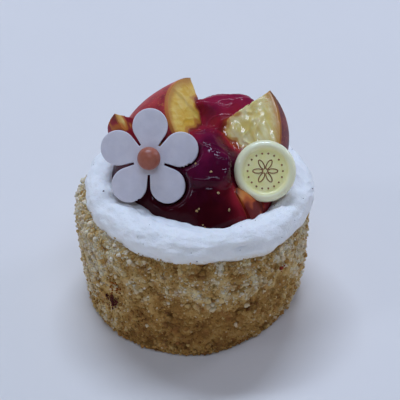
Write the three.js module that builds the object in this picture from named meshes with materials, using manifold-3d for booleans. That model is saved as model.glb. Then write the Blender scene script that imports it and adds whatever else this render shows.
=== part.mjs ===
// Individual cheesecake: a small round cake in a coat of sponge crumbs, with a ring of
// whipped vanilla cream round a heap of glazed nectarine, and two chocolate decorations.
// Millimetres, +Z up, front towards -Y, origin at the middle of the flat base.

import * as THREE from "three";
import { mergeVertices } from "three/addons/utils/BufferGeometryUtils.js";
import { ImprovedNoise } from "three/addons/math/ImprovedNoise.js";
import Module from "manifold-3d";

const wasm = await Module();
wasm.setup();

// The gap kept between pieces that touch
const TOUCH_GAP = 0.3;

// The cake and its crumb coat
const CAKE_RADIUS = 37.7;
const CAKE_HEIGHT = 40;
const CAKE_LEAN = 0.012;
const FOOT_TUCK = 2.4;
const FOOT_TUCK_ANGLE = THREE.MathUtils.degToRad(-42);
const FOOT_TUCK_SPREAD = THREE.MathUtils.degToRad(32);
const SIDE_FACETS = 72;
const COAT_RELIEF = 0.5;
const CRUMB_COUNT = 70;
const CRUMB_RADIUS = 0.95;
const CRUMB_SEED = 7;

// The ring of whipped cream
const RING_CENTRE = new THREE.Vector3(2, 0, 41.6);
const RING_RADIUS = 31.4;
const RING_HALF_WIDTH = 5.8;
const RING_HALF_HEIGHT = 5.7;
const LEDGE_ANGLE = THREE.MathUtils.degToRad(-119);
const LEDGE_SPREAD = THREE.MathUtils.degToRad(30);
const LEDGE_WIDTH = 3.6;
const LEDGE_DROP = 2.4;

// The chocolate decorations lean back on the fruit
const LEAN_BACK = THREE.MathUtils.degToRad(53);
const FACING = new THREE.Vector3(0, -Math.sin(LEAN_BACK), Math.cos(LEAN_BACK));
const PRESS_FADE = 3;
const FLOWER_CENTRE = new THREE.Vector3(-13.7, -8.1, 58.2);
const FLOWER_THICKNESS = 2;
const PETAL_COUNT = 5;
const PETAL_RADIUS = 5.5;
const PETAL_DISTANCE = 10.25;
const PETAL_TURN = THREE.MathUtils.degToRad(88.5);
const SLIT_START = 5;
const SLIT_HALF_WIDTH = 0.35;
const BALL_RADIUS = 3.6;
const DISC_CENTRE = new THREE.Vector3(22.4, -10.2, 55);
const DISC_RADIUS = 9.7;
const DISC_THICKNESS = 3.5;

// The fruit lies on the cake inside the ring
const FRUIT_FLOOR = CAKE_HEIGHT + TOUCH_GAP;
const GLAZE_CENTRE = new THREE.Vector2(1, 2);
const GLAZE_RADIUS = 28;
const GLAZE_POOL = 45.2;
const GLAZE_TOP = 60.5;
const GLAZE_RIDGE = new THREE.Vector2(-5, 17);
const GLAZE_RIDGE_RISE = 4;
const GLAZE_RIDGE_RADIUS = 7;

const noise = new ImprovedNoise();

// Smooth swelling from -1 to 1 with humps of the given size
function swell(point, size, shift = 0) {
  return 1.6 * noise.noise(point.x / size + shift, point.y / size, point.z / size);
}

// A closed solid from a geometry, with its seams and poles merged
function solidOf(geometry) {
  const bare = geometry.clone();
  bare.deleteAttribute("normal");
  bare.deleteAttribute("uv");
  const merged = mergeVertices(bare, 1e-4);
  const corners = [];
  const index = merged.index.array;
  for (let i = 0; i < index.length; i += 3) {
    const [a, b, c] = [index[i], index[i + 1], index[i + 2]];
    if (a !== b && b !== c && c !== a) {
      corners.push(a, b, c);
    }
  }
  return new wasm.Manifold(new wasm.Mesh({
    numProp: 3,
    vertProperties: Float32Array.from(merged.attributes.position.array),
    triVerts: Uint32Array.from(corners),
  }));
}

// A geometry from a solid
function geometryOf(solid) {
  const mesh = solid.getMesh();
  const geometry = new THREE.BufferGeometry();
  geometry.setAttribute("position", new THREE.BufferAttribute(mesh.vertProperties, 3));
  geometry.setIndex(new THREE.BufferAttribute(mesh.triVerts, 1));
  geometry.computeVertexNormals();
  return geometry;
}

// The largest piece of a solid that cutting has parted
function largestPiece(solid) {
  return solid.decompose().reduce((best, piece) => (piece.volume() > best.volume() ? piece : best));
}

// A solid cut clear of others, without loose scraps
function cutClear(solid, cutters) {
  return largestPiece(cutters.reduce((rest, cutter) => rest.subtract(cutter), solid));
}

// Moves every vertex of a geometry by a function that changes the point it is given
function reshape(geometry, change) {
  const position = geometry.attributes.position;
  const point = new THREE.Vector3();
  for (let i = 0; i < position.count; i += 1) {
    point.fromBufferAttribute(position, i);
    change(point);
    position.setXYZ(i, point.x, point.y, point.z);
  }
  return geometry;
}

// Everything inside a box from one corner to the other
function block(low, high) {
  const size = new THREE.Vector3().subVectors(high, low);
  const middle = new THREE.Vector3().addVectors(low, high).multiplyScalar(0.5);
  const box = new THREE.BoxGeometry(size.x, size.y, size.z);
  return solidOf(box.translate(middle.x, middle.y, middle.z));
}

// The upper space that the toppings may fill
const aboveCake = block(new THREE.Vector3(-60, -60, FRUIT_FLOOR), new THREE.Vector3(60, 60, 120));

// The side of the cake from its foot over the belly to the rounded shoulder
function cakeProfile(grow) {
  const side = new THREE.SplineCurve([
    new THREE.Vector2(CAKE_RADIUS - 2.7, 0),
    new THREE.Vector2(CAKE_RADIUS - 1.8, 1.5),
    new THREE.Vector2(CAKE_RADIUS - 0.8, 12),
    new THREE.Vector2(CAKE_RADIUS, 25),
    new THREE.Vector2(CAKE_RADIUS, 33),
    new THREE.Vector2(CAKE_RADIUS - 0.9, 37.6),
    new THREE.Vector2(CAKE_RADIUS - 3.2, CAKE_HEIGHT - 0.3),
    new THREE.Vector2(CAKE_RADIUS - 6, CAKE_HEIGHT),
  ]).getSpacedPoints(15);
  const grown = side.map((p) => new THREE.Vector2(p.x + grow, p.y > 1 ? p.y + grow : p.y));
  return [new THREE.Vector2(0, 0), ...grown, new THREE.Vector2(0, CAKE_HEIGHT + grow)];
}

// How near an angle is to a direction round the cake, from 1 there to 0 well away
function nearness(angle, direction, spread) {
  const turn = Math.atan2(Math.sin(angle - direction), Math.cos(angle - direction));
  return Math.exp(-((turn / spread) ** 4));
}

// The foot is tucked in at the right front, and the cake leans to the left as it rises
function settle(point) {
  const near = nearness(Math.atan2(point.y, point.x), FOOT_TUCK_ANGLE, FOOT_TUCK_SPREAD);
  const tuck = FOOT_TUCK * near * (1 - THREE.MathUtils.smoothstep(point.z, 0, 13));
  const share = 1 - tuck / CAKE_RADIUS;
  point.x = point.x * share - CAKE_LEAN * point.z;
  point.y *= share;
}

function cakeEnvelope(grow) {
  const lathe = new THREE.LatheGeometry(cakeProfile(grow), SIDE_FACETS).rotateX(Math.PI / 2);
  return solidOf(reshape(lathe, settle));
}

// How strongly the coat shows: not under the cream and not at the flat base
function coatShare(z) {
  return THREE.MathUtils.smoothstep(z, 0, 3) * (1 - THREE.MathUtils.smoothstep(z, 34, 37.5));
}

// The cake with the uneven surface of its coat, in broad swells and small bumps
function coatedCake() {
  const lathe = new THREE.LatheGeometry(cakeProfile(0), SIDE_FACETS).rotateX(Math.PI / 2);
  return solidOf(reshape(lathe, (point) => {
    const bumps = 0.6 * swell(point, 14) + 0.7 * swell(point, 4.5, 9) - 0.3;
    const radius = Math.hypot(point.x, point.y);
    const share = radius > 1 ? (COAT_RELIEF * bumps * coatShare(point.z)) / radius : 0;
    point.x *= 1 + share;
    point.y *= 1 + share;
    settle(point);
  }));
}

// One crumb of the coat, uneven and turned at random
function crumb(place) {
  const random = THREE.MathUtils.seededRandom;
  const stone = new THREE.IcosahedronGeometry(CRUMB_RADIUS * (0.7 + 0.6 * random()), 0);
  stone.scale(0.8 + 0.5 * random(), 0.8 + 0.5 * random(), 0.8 + 0.5 * random());
  stone.rotateX(Math.PI * random()).rotateZ(Math.PI * random());
  return solidOf(stone.translate(place.x, place.y, place.z));
}

// The whole cake: crumbs spread evenly round its side on a spiral and fused to it
function cakeDrum() {
  const goldenAngle = Math.PI * (3 - Math.sqrt(5));
  const side = cakeProfile(0);
  THREE.MathUtils.seededRandom(CRUMB_SEED);
  let solid = coatedCake();
  for (let i = 0; i < CRUMB_COUNT; i += 1) {
    const z = 2.4 + (32.2 * (i + 0.5)) / CRUMB_COUNT;
    const rim = side.find((p) => p.y > z);
    const angle = i * goldenAngle + 0.12 * THREE.MathUtils.seededRandom();
    const radius = rim.x - 0.15;
    const place = new THREE.Vector3(radius * Math.cos(angle), radius * Math.sin(angle), z);
    settle(place);
    solid = solid.add(crumb(place));
  }
  return solid;
}

// The ring of whipped cream, uneven in width and height, with a soft ledge inside
function creamSweep(grow) {
  const torus = new THREE.TorusGeometry(RING_RADIUS, 1, 10, 60);
  reshape(torus, (point) => {
    const angle = Math.atan2(point.y, point.x);
    const across = Math.hypot(point.x, point.y) - RING_RADIUS;
    const rise = point.z;
    const round = new THREE.Vector3(RING_RADIUS * Math.cos(angle), RING_RADIUS * Math.sin(angle), 0);
    const ledge = across < 0 ? nearness(angle, LEDGE_ANGLE, LEDGE_SPREAD) * -across : 0;
    const width = RING_HALF_WIDTH + grow + 0.5 * swell(round, 16) + LEDGE_WIDTH * ledge;
    const height = RING_HALF_HEIGHT + grow + 0.5 * swell(round, 13, 5) - 1.6 * ledge;
    const radius = RING_RADIUS + across * width;
    point.set(radius * Math.cos(angle), radius * Math.sin(angle), rise * height);
    point.add(RING_CENTRE);
  });
  return solidOf(torus);
}

// The ring sits over the shoulder of the cake and round the fruit
function creamRing(cutters) {
  return cutClear(creamSweep(0), [cakeEnvelope(TOUCH_GAP), ...cutters]);
}

// The outline of the flower: round petals parted by narrow slits
function flowerOutline(grow) {
  const outline = new THREE.Shape();
  const step = (2 * Math.PI) / PETAL_COUNT;
  const sweep = THREE.MathUtils.degToRad(126);
  for (let i = 0; i < PETAL_COUNT; i += 1) {
    const turn = PETAL_TURN + i * step;
    const x = PETAL_DISTANCE * Math.cos(turn);
    const y = PETAL_DISTANCE * Math.sin(turn);
    outline.absarc(x, y, PETAL_RADIUS + grow, turn - sweep, turn + sweep, false);
    const slit = turn + step / 2;
    const spread = (SLIT_HALF_WIDTH - grow / 3) / SLIT_START;
    for (const side of [-spread, spread]) {
      outline.lineTo(SLIT_START * Math.cos(slit + side), SLIT_START * Math.sin(slit + side));
    }
  }
  outline.closePath();
  return outline;
}

// Turns a flat thing that faces up so that it leans back, and puts its middle at a place
function leanBack(geometry, place) {
  return geometry.rotateX(LEAN_BACK).translate(place.x, place.y, place.z);
}

// The flower of white chocolate, with softened front and back edges, or the space that it
// and what lies ahead of it take
function flower(grow = 0, ahead = 0) {
  const edge = 0.3;
  const plate = new THREE.ExtrudeGeometry(flowerOutline(grow - edge), {
    depth: FLOWER_THICKNESS + 2 * grow - 2 * edge + ahead,
    bevelThickness: edge,
    bevelSize: edge,
    bevelSegments: 1,
    curveSegments: 7,
  });
  plate.translate(0, 0, edge - grow - FLOWER_THICKNESS / 2);
  return solidOf(leanBack(plate, FLOWER_CENTRE));
}

// The small chocolate ball at the heart of the flower
function flowerBall() {
  const ball = new THREE.SphereGeometry(BALL_RADIUS, 14, 9).translate(0, 0, FLOWER_THICKNESS / 2 + 2.2);
  return solidOf(leanBack(ball, FLOWER_CENTRE)).subtract(flower(TOUCH_GAP));
}

// The round chocolate disc: a raised rounded rim about a flat field
function disc(grow = 0) {
  const half = DISC_THICKNESS / 2 + grow;
  const rim = DISC_RADIUS + grow;
  const profile = [
    new THREE.Vector2(0, -half),
    new THREE.Vector2(rim - 1, -half),
    new THREE.Vector2(rim - 0.2, -half + 0.7),
    new THREE.Vector2(rim, 0),
    new THREE.Vector2(rim - 0.3, half - 0.8),
    new THREE.Vector2(rim - 1, half - 0.15),
    new THREE.Vector2(rim - 1.7, half),
    new THREE.Vector2(rim - 2.5, half - 0.3),
    new THREE.Vector2(rim - 2.9, half - 0.65),
    new THREE.Vector2(0, half - 0.65),
  ];
  const lathe = new THREE.LatheGeometry(profile, 32).rotateX(Math.PI / 2);
  return solidOf(leanBack(lathe, DISC_CENTRE));
}

// Presses a point of the soft toppings back behind the decorations that lean on them
function pressBack(point) {
  const plates = [
    [FLOWER_CENTRE, PETAL_DISTANCE + PETAL_RADIUS, FLOWER_THICKNESS],
    [DISC_CENTRE, DISC_RADIUS, DISC_THICKNESS],
  ];
  for (const [centre, radius, thickness] of plates) {
    const offset = new THREE.Vector3().subVectors(point, centre);
    const ahead = offset.dot(FACING);
    const beside = Math.sqrt(Math.max(offset.lengthSq() - ahead * ahead, 0));
    const share = 1 - THREE.MathUtils.smoothstep(beside, radius, radius + PRESS_FADE);
    point.addScaledVector(FACING, -share * Math.max(ahead + thickness / 2 + TOUCH_GAP, 0));
  }
}

// The wedges of nectarine: the upper tip, the way from the lower to the upper tip, the way
// the skin faces, the radius and half length of the fruit, the angle of the cut, the length
// that is left, the share of the radius that the stone took, and the squeeze front to back
const WEDGES = {
  nectarine_wedge_left: {
    tip: [-2.1, 22.9, 68.9], axis: [-0.337, 0.622, 0.706], outward: [-0.748, -0.632, 0.2],
    radius: 28.1, halfLength: 15.4, angle: 58, length: 27, stone: 0.1, squeeze: 0.65,
  },
  nectarine_wedge_right: {
    tip: [24.9, 8.5, 72.1], axis: [0.768, -0.02, 0.641], outward: [0.549, -0.495, -0.673],
    radius: 25.6, halfLength: 23.9, angle: 40, length: 34, stone: 0.1, squeeze: 1,
  },
  nectarine_wedge_far_left: {
    tip: [-24.7, 2, 68.6], axis: [-0.548, -0.609, 0.574], outward: [-0.214, -0.561, -0.8],
    radius: 12, halfLength: 18.3, angle: 75, length: 29, stone: 0.2, squeeze: 1,
  },
  nectarine_wedge_front: {
    tip: [12.3, -15.6, 51.5], axis: [-0.038, 0.007, 0.999], outward: [0.998, 0.044, 0.038],
    radius: 11.7, halfLength: 16, angle: 110, length: 7, stone: 0.1, squeeze: 1,
  },
};

// A matrix that squeezes things along the way the decorations face
function squeezed(share) {
  const turn = new THREE.Matrix4().makeRotationX(LEAN_BACK);
  const scale = new THREE.Matrix4().makeScale(1, 1, share);
  return turn.clone().multiply(scale).multiply(turn.clone().invert());
}

function wedge(name, grow = 0) {
  const { tip, axis, outward, radius, halfLength, angle, length, stone, squeeze } = WEDGES[name];
  const up = new THREE.Vector3(...axis).normalize();
  const side = new THREE.Vector3().crossVectors(up, new THREE.Vector3(...outward)).normalize();
  const out = new THREE.Vector3().crossVectors(side, up);
  const half = THREE.MathUtils.degToRad(angle / 2);
  const reach = 3 * radius;
  const back = grow / Math.sin(half);
  const cut = new THREE.Shape([
    new THREE.Vector2(-back, 0),
    new THREE.Vector2(reach * Math.cos(half) - back, -reach * Math.sin(half)),
    new THREE.Vector2(reach * Math.cos(half) - back, reach * Math.sin(half)),
  ]);
  const low = halfLength - length - grow;
  const prism = new THREE.ExtrudeGeometry(cut, { depth: reach, bevelEnabled: false }).translate(0, 0, low);
  const fruit = new THREE.SphereGeometry(1, 28, 16).rotateX(Math.PI / 2);
  fruit.scale(radius + grow, radius + grow, halfLength + grow);
  const pit = new THREE.SphereGeometry(1, 12, 8).rotateX(Math.PI / 2);
  pit.scale(stone * radius, stone * radius, 0.55 * halfLength);
  const place = new THREE.Matrix4().makeBasis(out, side, up);
  place.setPosition(up.clone().multiplyScalar(-halfLength));
  place.premultiply(squeezed(squeeze)).premultiply(new THREE.Matrix4().makeTranslation(...tip));
  const shapes = [fruit, prism, pit].map((geometry) => solidOf(geometry.applyMatrix4(place)));
  const whole = shapes[0].intersect(shapes[1]).intersect(aboveCake);
  return grow > 0 ? whole : whole.subtract(shapes[2]);
}

// A lump of fruit under thick glaze: its middle, half sizes and the slope of its upper face
const LUMPS = {
  glazed_fruit_front: {
    middle: [5.1, -8.4, 55], halfSizes: [7.6, 8.8, 6.6], slope: 29, turn: -6, squareness: 3.6, shift: 3,
  },
  glazed_fruit_back: {
    middle: [10.5, 14, 57.2], halfSizes: [13, 9.5, 6.8], slope: 28, turn: 4, squareness: 2.6, shift: 8,
  },
};

function lump(name, grow = 0) {
  const { middle, halfSizes, slope, turn, squareness, shift } = LUMPS[name];
  const ball = new THREE.SphereGeometry(1, 18, 11).rotateX(Math.PI / 2);
  reshape(ball, (point) => {
    const powers = point.toArray().map((value) => Math.abs(value) ** squareness);
    const length = powers.reduce((sum, value) => sum + value) ** (1 / squareness);
    point.multiplyScalar(1 / length);
    point.multiply(new THREE.Vector3(...halfSizes));
    point.multiplyScalar(1 + 0.06 * swell(point, 8, shift) + grow / halfSizes[2]);
  });
  ball.rotateX(THREE.MathUtils.degToRad(slope)).rotateZ(THREE.MathUtils.degToRad(turn));
  return solidOf(ball.translate(...middle)).intersect(aboveCake);
}

// The thick fruit glaze: a hill inside the ring, steep at the back and gentle in front,
// lower along the soft ledge, pressed back behind the decorations, with a ridge that the
// left wedge leans on
function fruitGlaze(cutters) {
  const shares = [1, 0.94, 0.86, 0.75, 0.6, 0.42, 0.22];
  const rings = shares.map((share) => new THREE.Vector2(share, 1));
  const profile = [new THREE.Vector2(0, 0), new THREE.Vector2(1, 0), ...rings, new THREE.Vector2(0, 1)];
  const hill = new THREE.LatheGeometry(profile, 40).rotateX(Math.PI / 2);
  reshape(hill, (point) => {
    const angle = Math.atan2(point.y, point.x);
    const share = Math.hypot(point.x, point.y);
    const ledge = nearness(angle, LEDGE_ANGLE, LEDGE_SPREAD) * share;
    const behind = THREE.MathUtils.smoothstep(Math.sin(angle), -0.3, 0.6) * share;
    const slope = Math.min(share * (1 + 0.14 * ledge), 1) ** (2.2 + 1.2 * behind);
    const rise = (1 - slope) ** (0.9 - 0.15 * behind);
    const level = GLAZE_POOL - LEDGE_DROP * ledge;
    const top = point.z > 0;
    point.set(GLAZE_CENTRE.x + GLAZE_RADIUS * point.x, GLAZE_CENTRE.y + GLAZE_RADIUS * point.y, CAKE_HEIGHT - 1);
    if (top) {
      const away = Math.hypot(point.x - GLAZE_RIDGE.x, point.y - GLAZE_RIDGE.y) / GLAZE_RIDGE_RADIUS;
      point.z = level + (GLAZE_TOP - level) * rise + GLAZE_RIDGE_RISE * Math.exp(-(away ** 2));
      point.z += 0.8 * swell(point, 9, 2) * (1 - ledge);
      pressBack(point);
    }
  });
  return cutClear(solidOf(hill).intersect(aboveCake), cutters);
}

function material(color, roughness) {
  return new THREE.MeshStandardMaterial({ color, roughness, metalness: 0 });
}

const FINISH = {
  crumb: material("#b89a62", 0.95),
  cream: material("#e9edf6", 0.55),
  glaze: material("#7a1228", 0.12),
  fruit: material("#d9a63a", 0.3),
  flower: material("#c4c5d6", 0.45),
  ball: material("#9a5a48", 0.35),
  disc: material("#d6dab0", 0.3),
};

const cheesecake = new THREE.Group();

function addPiece(name, solid, finish) {
  const mesh = new THREE.Mesh(geometryOf(solid), finish);
  mesh.name = name;
  cheesecake.add(mesh);
}

addPiece("chocolate_flower", flower(), FINISH.flower);
addPiece("flower_centre", flowerBall(), FINISH.ball);
addPiece("chocolate_disc", disc(), FINISH.disc);

// Each later piece is cut clear of those before it
const settled = [flower(TOUCH_GAP, 12), disc(TOUCH_GAP)];
addPiece("cream_ring", creamRing(settled), FINISH.cream);
settled.push(creamSweep(TOUCH_GAP));
const heap = [
  ["nectarine_wedge_left", wedge, FINISH.fruit],
  ["nectarine_wedge_right", wedge, FINISH.fruit],
  ["nectarine_wedge_far_left", wedge, FINISH.fruit],
  ["glazed_fruit_front", lump, FINISH.glaze],
  ["glazed_fruit_back", lump, FINISH.glaze],
  ["nectarine_wedge_front", wedge, FINISH.fruit],
];
for (const [name, shape, finish] of heap) {
  addPiece(name, cutClear(shape(name), settled), finish);
  settled.push(shape(name, TOUCH_GAP));
}
addPiece("fruit_glaze", fruitGlaze(settled), FINISH.glaze);
addPiece("cake_drum", cakeDrum(), FINISH.crumb);

export default cheesecake;
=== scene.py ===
"""Looks of an individual cheesecake: a coat of sponge crumbs, a ring of whipped vanilla
cream, a heap of nectarine under dark red glaze, and two chocolate decorations.

Sizes are in millimetres and angles in degrees unless a name says otherwise. Finished
pieces are in metres, +Z up, front towards -Y, origin at the middle of the flat base.
"""

from __future__ import annotations

import logging
import math
from collections.abc import Callable, Sequence
from dataclasses import dataclass, field
from enum import Enum

import bmesh
import bpy
import numpy as np
from mathutils import Matrix, Vector, noise
from mathutils.bvhtree import BVHTree


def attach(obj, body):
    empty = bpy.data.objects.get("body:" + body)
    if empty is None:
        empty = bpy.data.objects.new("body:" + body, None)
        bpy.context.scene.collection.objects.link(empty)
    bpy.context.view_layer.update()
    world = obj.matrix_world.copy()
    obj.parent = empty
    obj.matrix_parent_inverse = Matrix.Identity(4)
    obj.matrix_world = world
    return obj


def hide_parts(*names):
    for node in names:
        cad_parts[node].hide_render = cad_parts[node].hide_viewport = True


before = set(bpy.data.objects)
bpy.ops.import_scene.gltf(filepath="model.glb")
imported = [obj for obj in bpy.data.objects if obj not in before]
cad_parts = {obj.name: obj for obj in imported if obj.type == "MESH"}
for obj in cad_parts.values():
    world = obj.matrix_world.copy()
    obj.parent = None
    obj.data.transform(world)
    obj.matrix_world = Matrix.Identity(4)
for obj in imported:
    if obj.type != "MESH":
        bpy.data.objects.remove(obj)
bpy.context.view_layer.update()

LOG = logging.getLogger("cheesecake")
MM = 0.001
BODY = "root"

# The photograph's frame
IMAGE_WIDTH = 400
IMAGE_HEIGHT = 400

# The chocolate decorations lean back on the fruit
LEAN_BACK = math.radians(53)
FACING = Vector((0, -math.sin(LEAN_BACK), math.cos(LEAN_BACK)))

# Brings the noise to between about -1 and 1
NOISE_GAIN = 1.6

# How far a clump of crumbs reaches, as a share of the distance between clumps
CLUMP_REACH = 0.8

Pair = tuple[float, float]
Point = tuple[float, float, float]
# The height, size and pattern of each swelling of a surface
Layers = tuple[Point, ...]
# Where a crumb sticks, the way out of the surface there, and how golden the crumb is, painted shade
# included
Spot = tuple[Vector, Vector, float]
Skin = bmesh.types.BMesh
Socket = bpy.types.NodeSocket
Rng = np.random.Generator


class Slot(Enum):
    """The record's material slots."""

    CRUMB = "crumb_coat"
    CREAM = "whipped_cream"
    GLAZE = "fruit_glaze"
    NECTARINE = "nectarine"
    WHITE = "white_chocolate"
    CARAMEL = "caramel_chocolate"
    TINTED = "tinted_chocolate"


def smoothstep(value: float, low: float, high: float) -> float:
    """Rises smoothly from 0 at low to 1 at high."""
    share = min(max((value - low) / (high - low), 0.0), 1.0)
    return share * share * (3 - 2 * share)


def bell(away: float, power: int = 2) -> float:
    """1 where away is 0 and nearly 0 past 2, flatter on top for a higher power."""
    return math.exp(-(away**power))


def swell(point: Vector, size: float, shift: float = 0.0) -> float:
    """Smooth humps of a size, between about -1 and 1. The shift picks another pattern."""
    return NOISE_GAIN * noise.noise(Vector((point.x / size + shift, point.y / size, point.z / size)))


def swells(point: Vector, layers: Layers) -> float:
    """Several swellings at once, each of its own height, size and pattern."""
    return sum(height * swell(point, size, shift) for height, size, shift in layers)


def crease(point: Vector, size: float, width: float, shift: float = 0.0) -> float:
    """Thin winding ridges, 1 along each and 0 between. Their width is a share of their distance."""
    return bell(swell(point, size, shift) / width)


def dome(away: float) -> float:
    """The height of a round clump at a distance from its middle, both as shares of its size."""
    return math.sqrt(max(1 - (away / CLUMP_REACH) ** 2, 0.0))


def nearness(angle: float, direction: float, spread: float) -> float:
    """How near an angle is to a direction, from 1 there to 0 well away, all in radians."""
    turn = math.atan2(math.sin(angle - direction), math.cos(angle - direction))
    return bell(turn / spread, 4)


def around(angle: float, reach: float, height: float = 0.0) -> Vector:
    """The point at an angle round the Z axis, a distance from it and a height."""
    return Vector((reach * math.cos(angle), reach * math.sin(angle), height))


def smooth_line(points: Sequence[Pair], steps: int) -> list[Vector]:
    """A smooth line through points of a profile.

    Args:
        points: distance from the axis and height of each point
        steps: how many steps to take between two points

    Returns:
        The points of the line, first and last included.
    """
    knots = [Vector(p) for p in (points[0], *points, points[-1])]
    line = []
    for a, b, c, d in zip(knots, knots[1:], knots[2:], knots[3:]):
        for i in range(steps):
            t = i / steps
            near = b + (c - a) * (t / 2)
            bend = (2 * a - 5 * b + 4 * c - d) * (t * t / 2)
            line.append(near + bend + (3 * b - a - 3 * c + d) * (t**3 / 2))
    return [*line, knots[-1]]


def spun(profile: Sequence[Vector], rounds: int, closed: bool = False, shell: bool = True) -> Skin:
    """Spins a profile once round the Z axis.

    Args:
        profile: distance from the axis and height of each point
        rounds: how many steps the full turn takes
        closed: whether the last point joins the first
        shell: whether it bounds a solid, so that its poles are closed and its faces point out

    Returns:
        The skin.
    """
    skin = bmesh.new()
    verts = [skin.verts.new((p.x, 0, p.y)) for p in profile]
    edges = [skin.edges.new(pair) for pair in zip(verts, verts[1:])]
    if closed:
        edges.append(skin.edges.new((verts[-1], verts[0])))
    bmesh.ops.spin(
        skin, geom=[*verts, *edges], axis=(0, 0, 1), cent=(0, 0, 0), angle=math.tau,
        steps=rounds, use_merge=True,
    )
    if shell:
        bmesh.ops.remove_doubles(skin, verts=skin.verts, dist=1e-4)
        bmesh.ops.recalc_face_normals(skin, faces=skin.faces)
    return skin


def placed(name: str, data: bpy.types.ID) -> bpy.types.Object:
    """Puts a mesh, a lamp or the camera in the scene as an object of that name."""
    thing = bpy.data.objects.new(name, data)
    bpy.context.scene.collection.objects.link(thing)
    return thing


def as_mesh(skin: Skin, name: str) -> bpy.types.Mesh:
    """Writes a skin to a new mesh and lets the skin go."""
    mesh = bpy.data.meshes.new(name)
    skin.to_mesh(mesh)
    skin.free()
    return mesh


def evened(rough: Skin, voxel: float, rounds: int) -> Skin:
    """Fuses closed shells into one skin of small even faces and softens its edges.

    Args:
        rough: the shells, which are used up
        voxel: the size of the new faces
        rounds: how many times the skin is smoothed

    Returns:
        The new skin.
    """
    mesh = as_mesh(rough, "rough")
    holder = placed("rough", mesh)
    remesh = holder.modifiers.new("even_faces", "REMESH")
    remesh.mode = "VOXEL"
    remesh.voxel_size = voxel
    skin = bmesh.new()
    skin.from_object(holder, bpy.context.evaluated_depsgraph_get())
    bpy.data.objects.remove(holder)
    bpy.data.meshes.remove(mesh)
    for _ in range(rounds):
        bmesh.ops.smooth_vert(
            skin, verts=skin.verts, factor=0.5, use_axis_x=True, use_axis_y=True, use_axis_z=True
        )
    skin.normal_update()
    return skin


def raised(skin: Skin, height: Callable[[Vector], float]) -> None:
    """Moves every point of a skin out along its normal, by the height there."""
    skin.normal_update()
    moves = [vert.normal * height(vert.co) for vert in skin.verts]
    for vert, move in zip(skin.verts, moves):
        vert.co += move
    skin.normal_update()


def mark(skin: Skin, name: str, value: Callable[[Vector], float]) -> None:
    """Gives every point of a skin a named value that its finish reads."""
    layer = skin.verts.layers.float.new(name)
    for vert in skin.verts:
        vert[layer] = value(vert.co)


def stand(mesh: bpy.types.Mesh, material: bpy.types.Material, slot: Slot, *nodes: str) -> None:
    """Makes a finished piece of the cake from a mesh in metres, named like its mesh.

    Args:
        mesh: its mesh
        material: its finish
        slot: the record's slot that the finish belongs to; not used
        nodes: the nodes that it stands for
    """
    mesh.materials.append(material)
    piece = placed(mesh.name, mesh)
    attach(piece, BODY)
    if nodes:
        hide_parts(*nodes)
    LOG.info("%s: %d faces", piece.name, len(mesh.polygons))


def to_mesh(skin: Skin, name: str, flat_above: float | None = None) -> bpy.types.Mesh:
    """Turns a skin in millimetres into a mesh in metres and lets the skin go.

    Args:
        skin: the skin, which is used up
        name: the mesh's name
        flat_above: faces of a larger area than this stay flat

    Returns:
        The mesh.
    """
    for face in skin.faces:
        face.smooth = flat_above is None or face.calc_area() < flat_above
    bmesh.ops.scale(skin, vec=(MM, MM, MM), verts=skin.verts)
    return as_mesh(skin, name)


def lean_back(skin: Skin, centre: Point) -> None:
    """Turns a flat thing that faces up so that it leans back, and puts its middle at a place."""
    bmesh.ops.rotate(skin, cent=(0, 0, 0), matrix=Matrix.Rotation(LEAN_BACK, 3, "X"), verts=skin.verts)
    bmesh.ops.translate(skin, vec=centre, verts=skin.verts)


# Materials


def linear(code: str) -> tuple[float, float, float, float]:
    """An sRGB hex colour in linear light, with full alpha."""
    parts = [int(code[i:i + 2], 16) / 255 for i in (1, 3, 5)]
    return (*(p / 12.92 if p <= 0.04045 else ((p + 0.055) / 1.055) ** 2.4 for p in parts), 1.0)


def per_mm(size: float) -> float:
    """The scale that gives a pattern on coordinates in metres a size in millimetres."""
    return 1 / (size * MM)


def feed(tree: bpy.types.NodeTree, socket: Socket, value: object) -> None:
    """Links an output to a socket, or gives the socket a constant or a hex colour."""
    if isinstance(value, Socket):
        tree.links.new(value, socket)
    else:
        socket.default_value = linear(value) if isinstance(value, str) else value


def add(tree: bpy.types.NodeTree, kind: str, inputs: dict | None = None,
        ramp: Sequence[tuple[float, str]] = (), **settings: object) -> bpy.types.Node:
    """Adds a node with its settings and links.

    Args:
        tree: the node tree
        kind: the node's type
        inputs: for each socket, a constant value or the output that is linked to it
        ramp: for a colour ramp, the place and hex colour of each stop
        settings: the node's own settings

    Returns:
        The node.
    """
    node = tree.nodes.new(kind)
    for name, value in settings.items():
        setattr(node, name, value)
    for i, (place, code) in enumerate(ramp):
        elements = node.color_ramp.elements
        stop = elements[i] if i < len(elements) else elements.new(place)
        stop.position = place
        stop.color = linear(code)
    for name, value in (inputs or {}).items():
        feed(tree, node.inputs[name], value)
    return node


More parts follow.
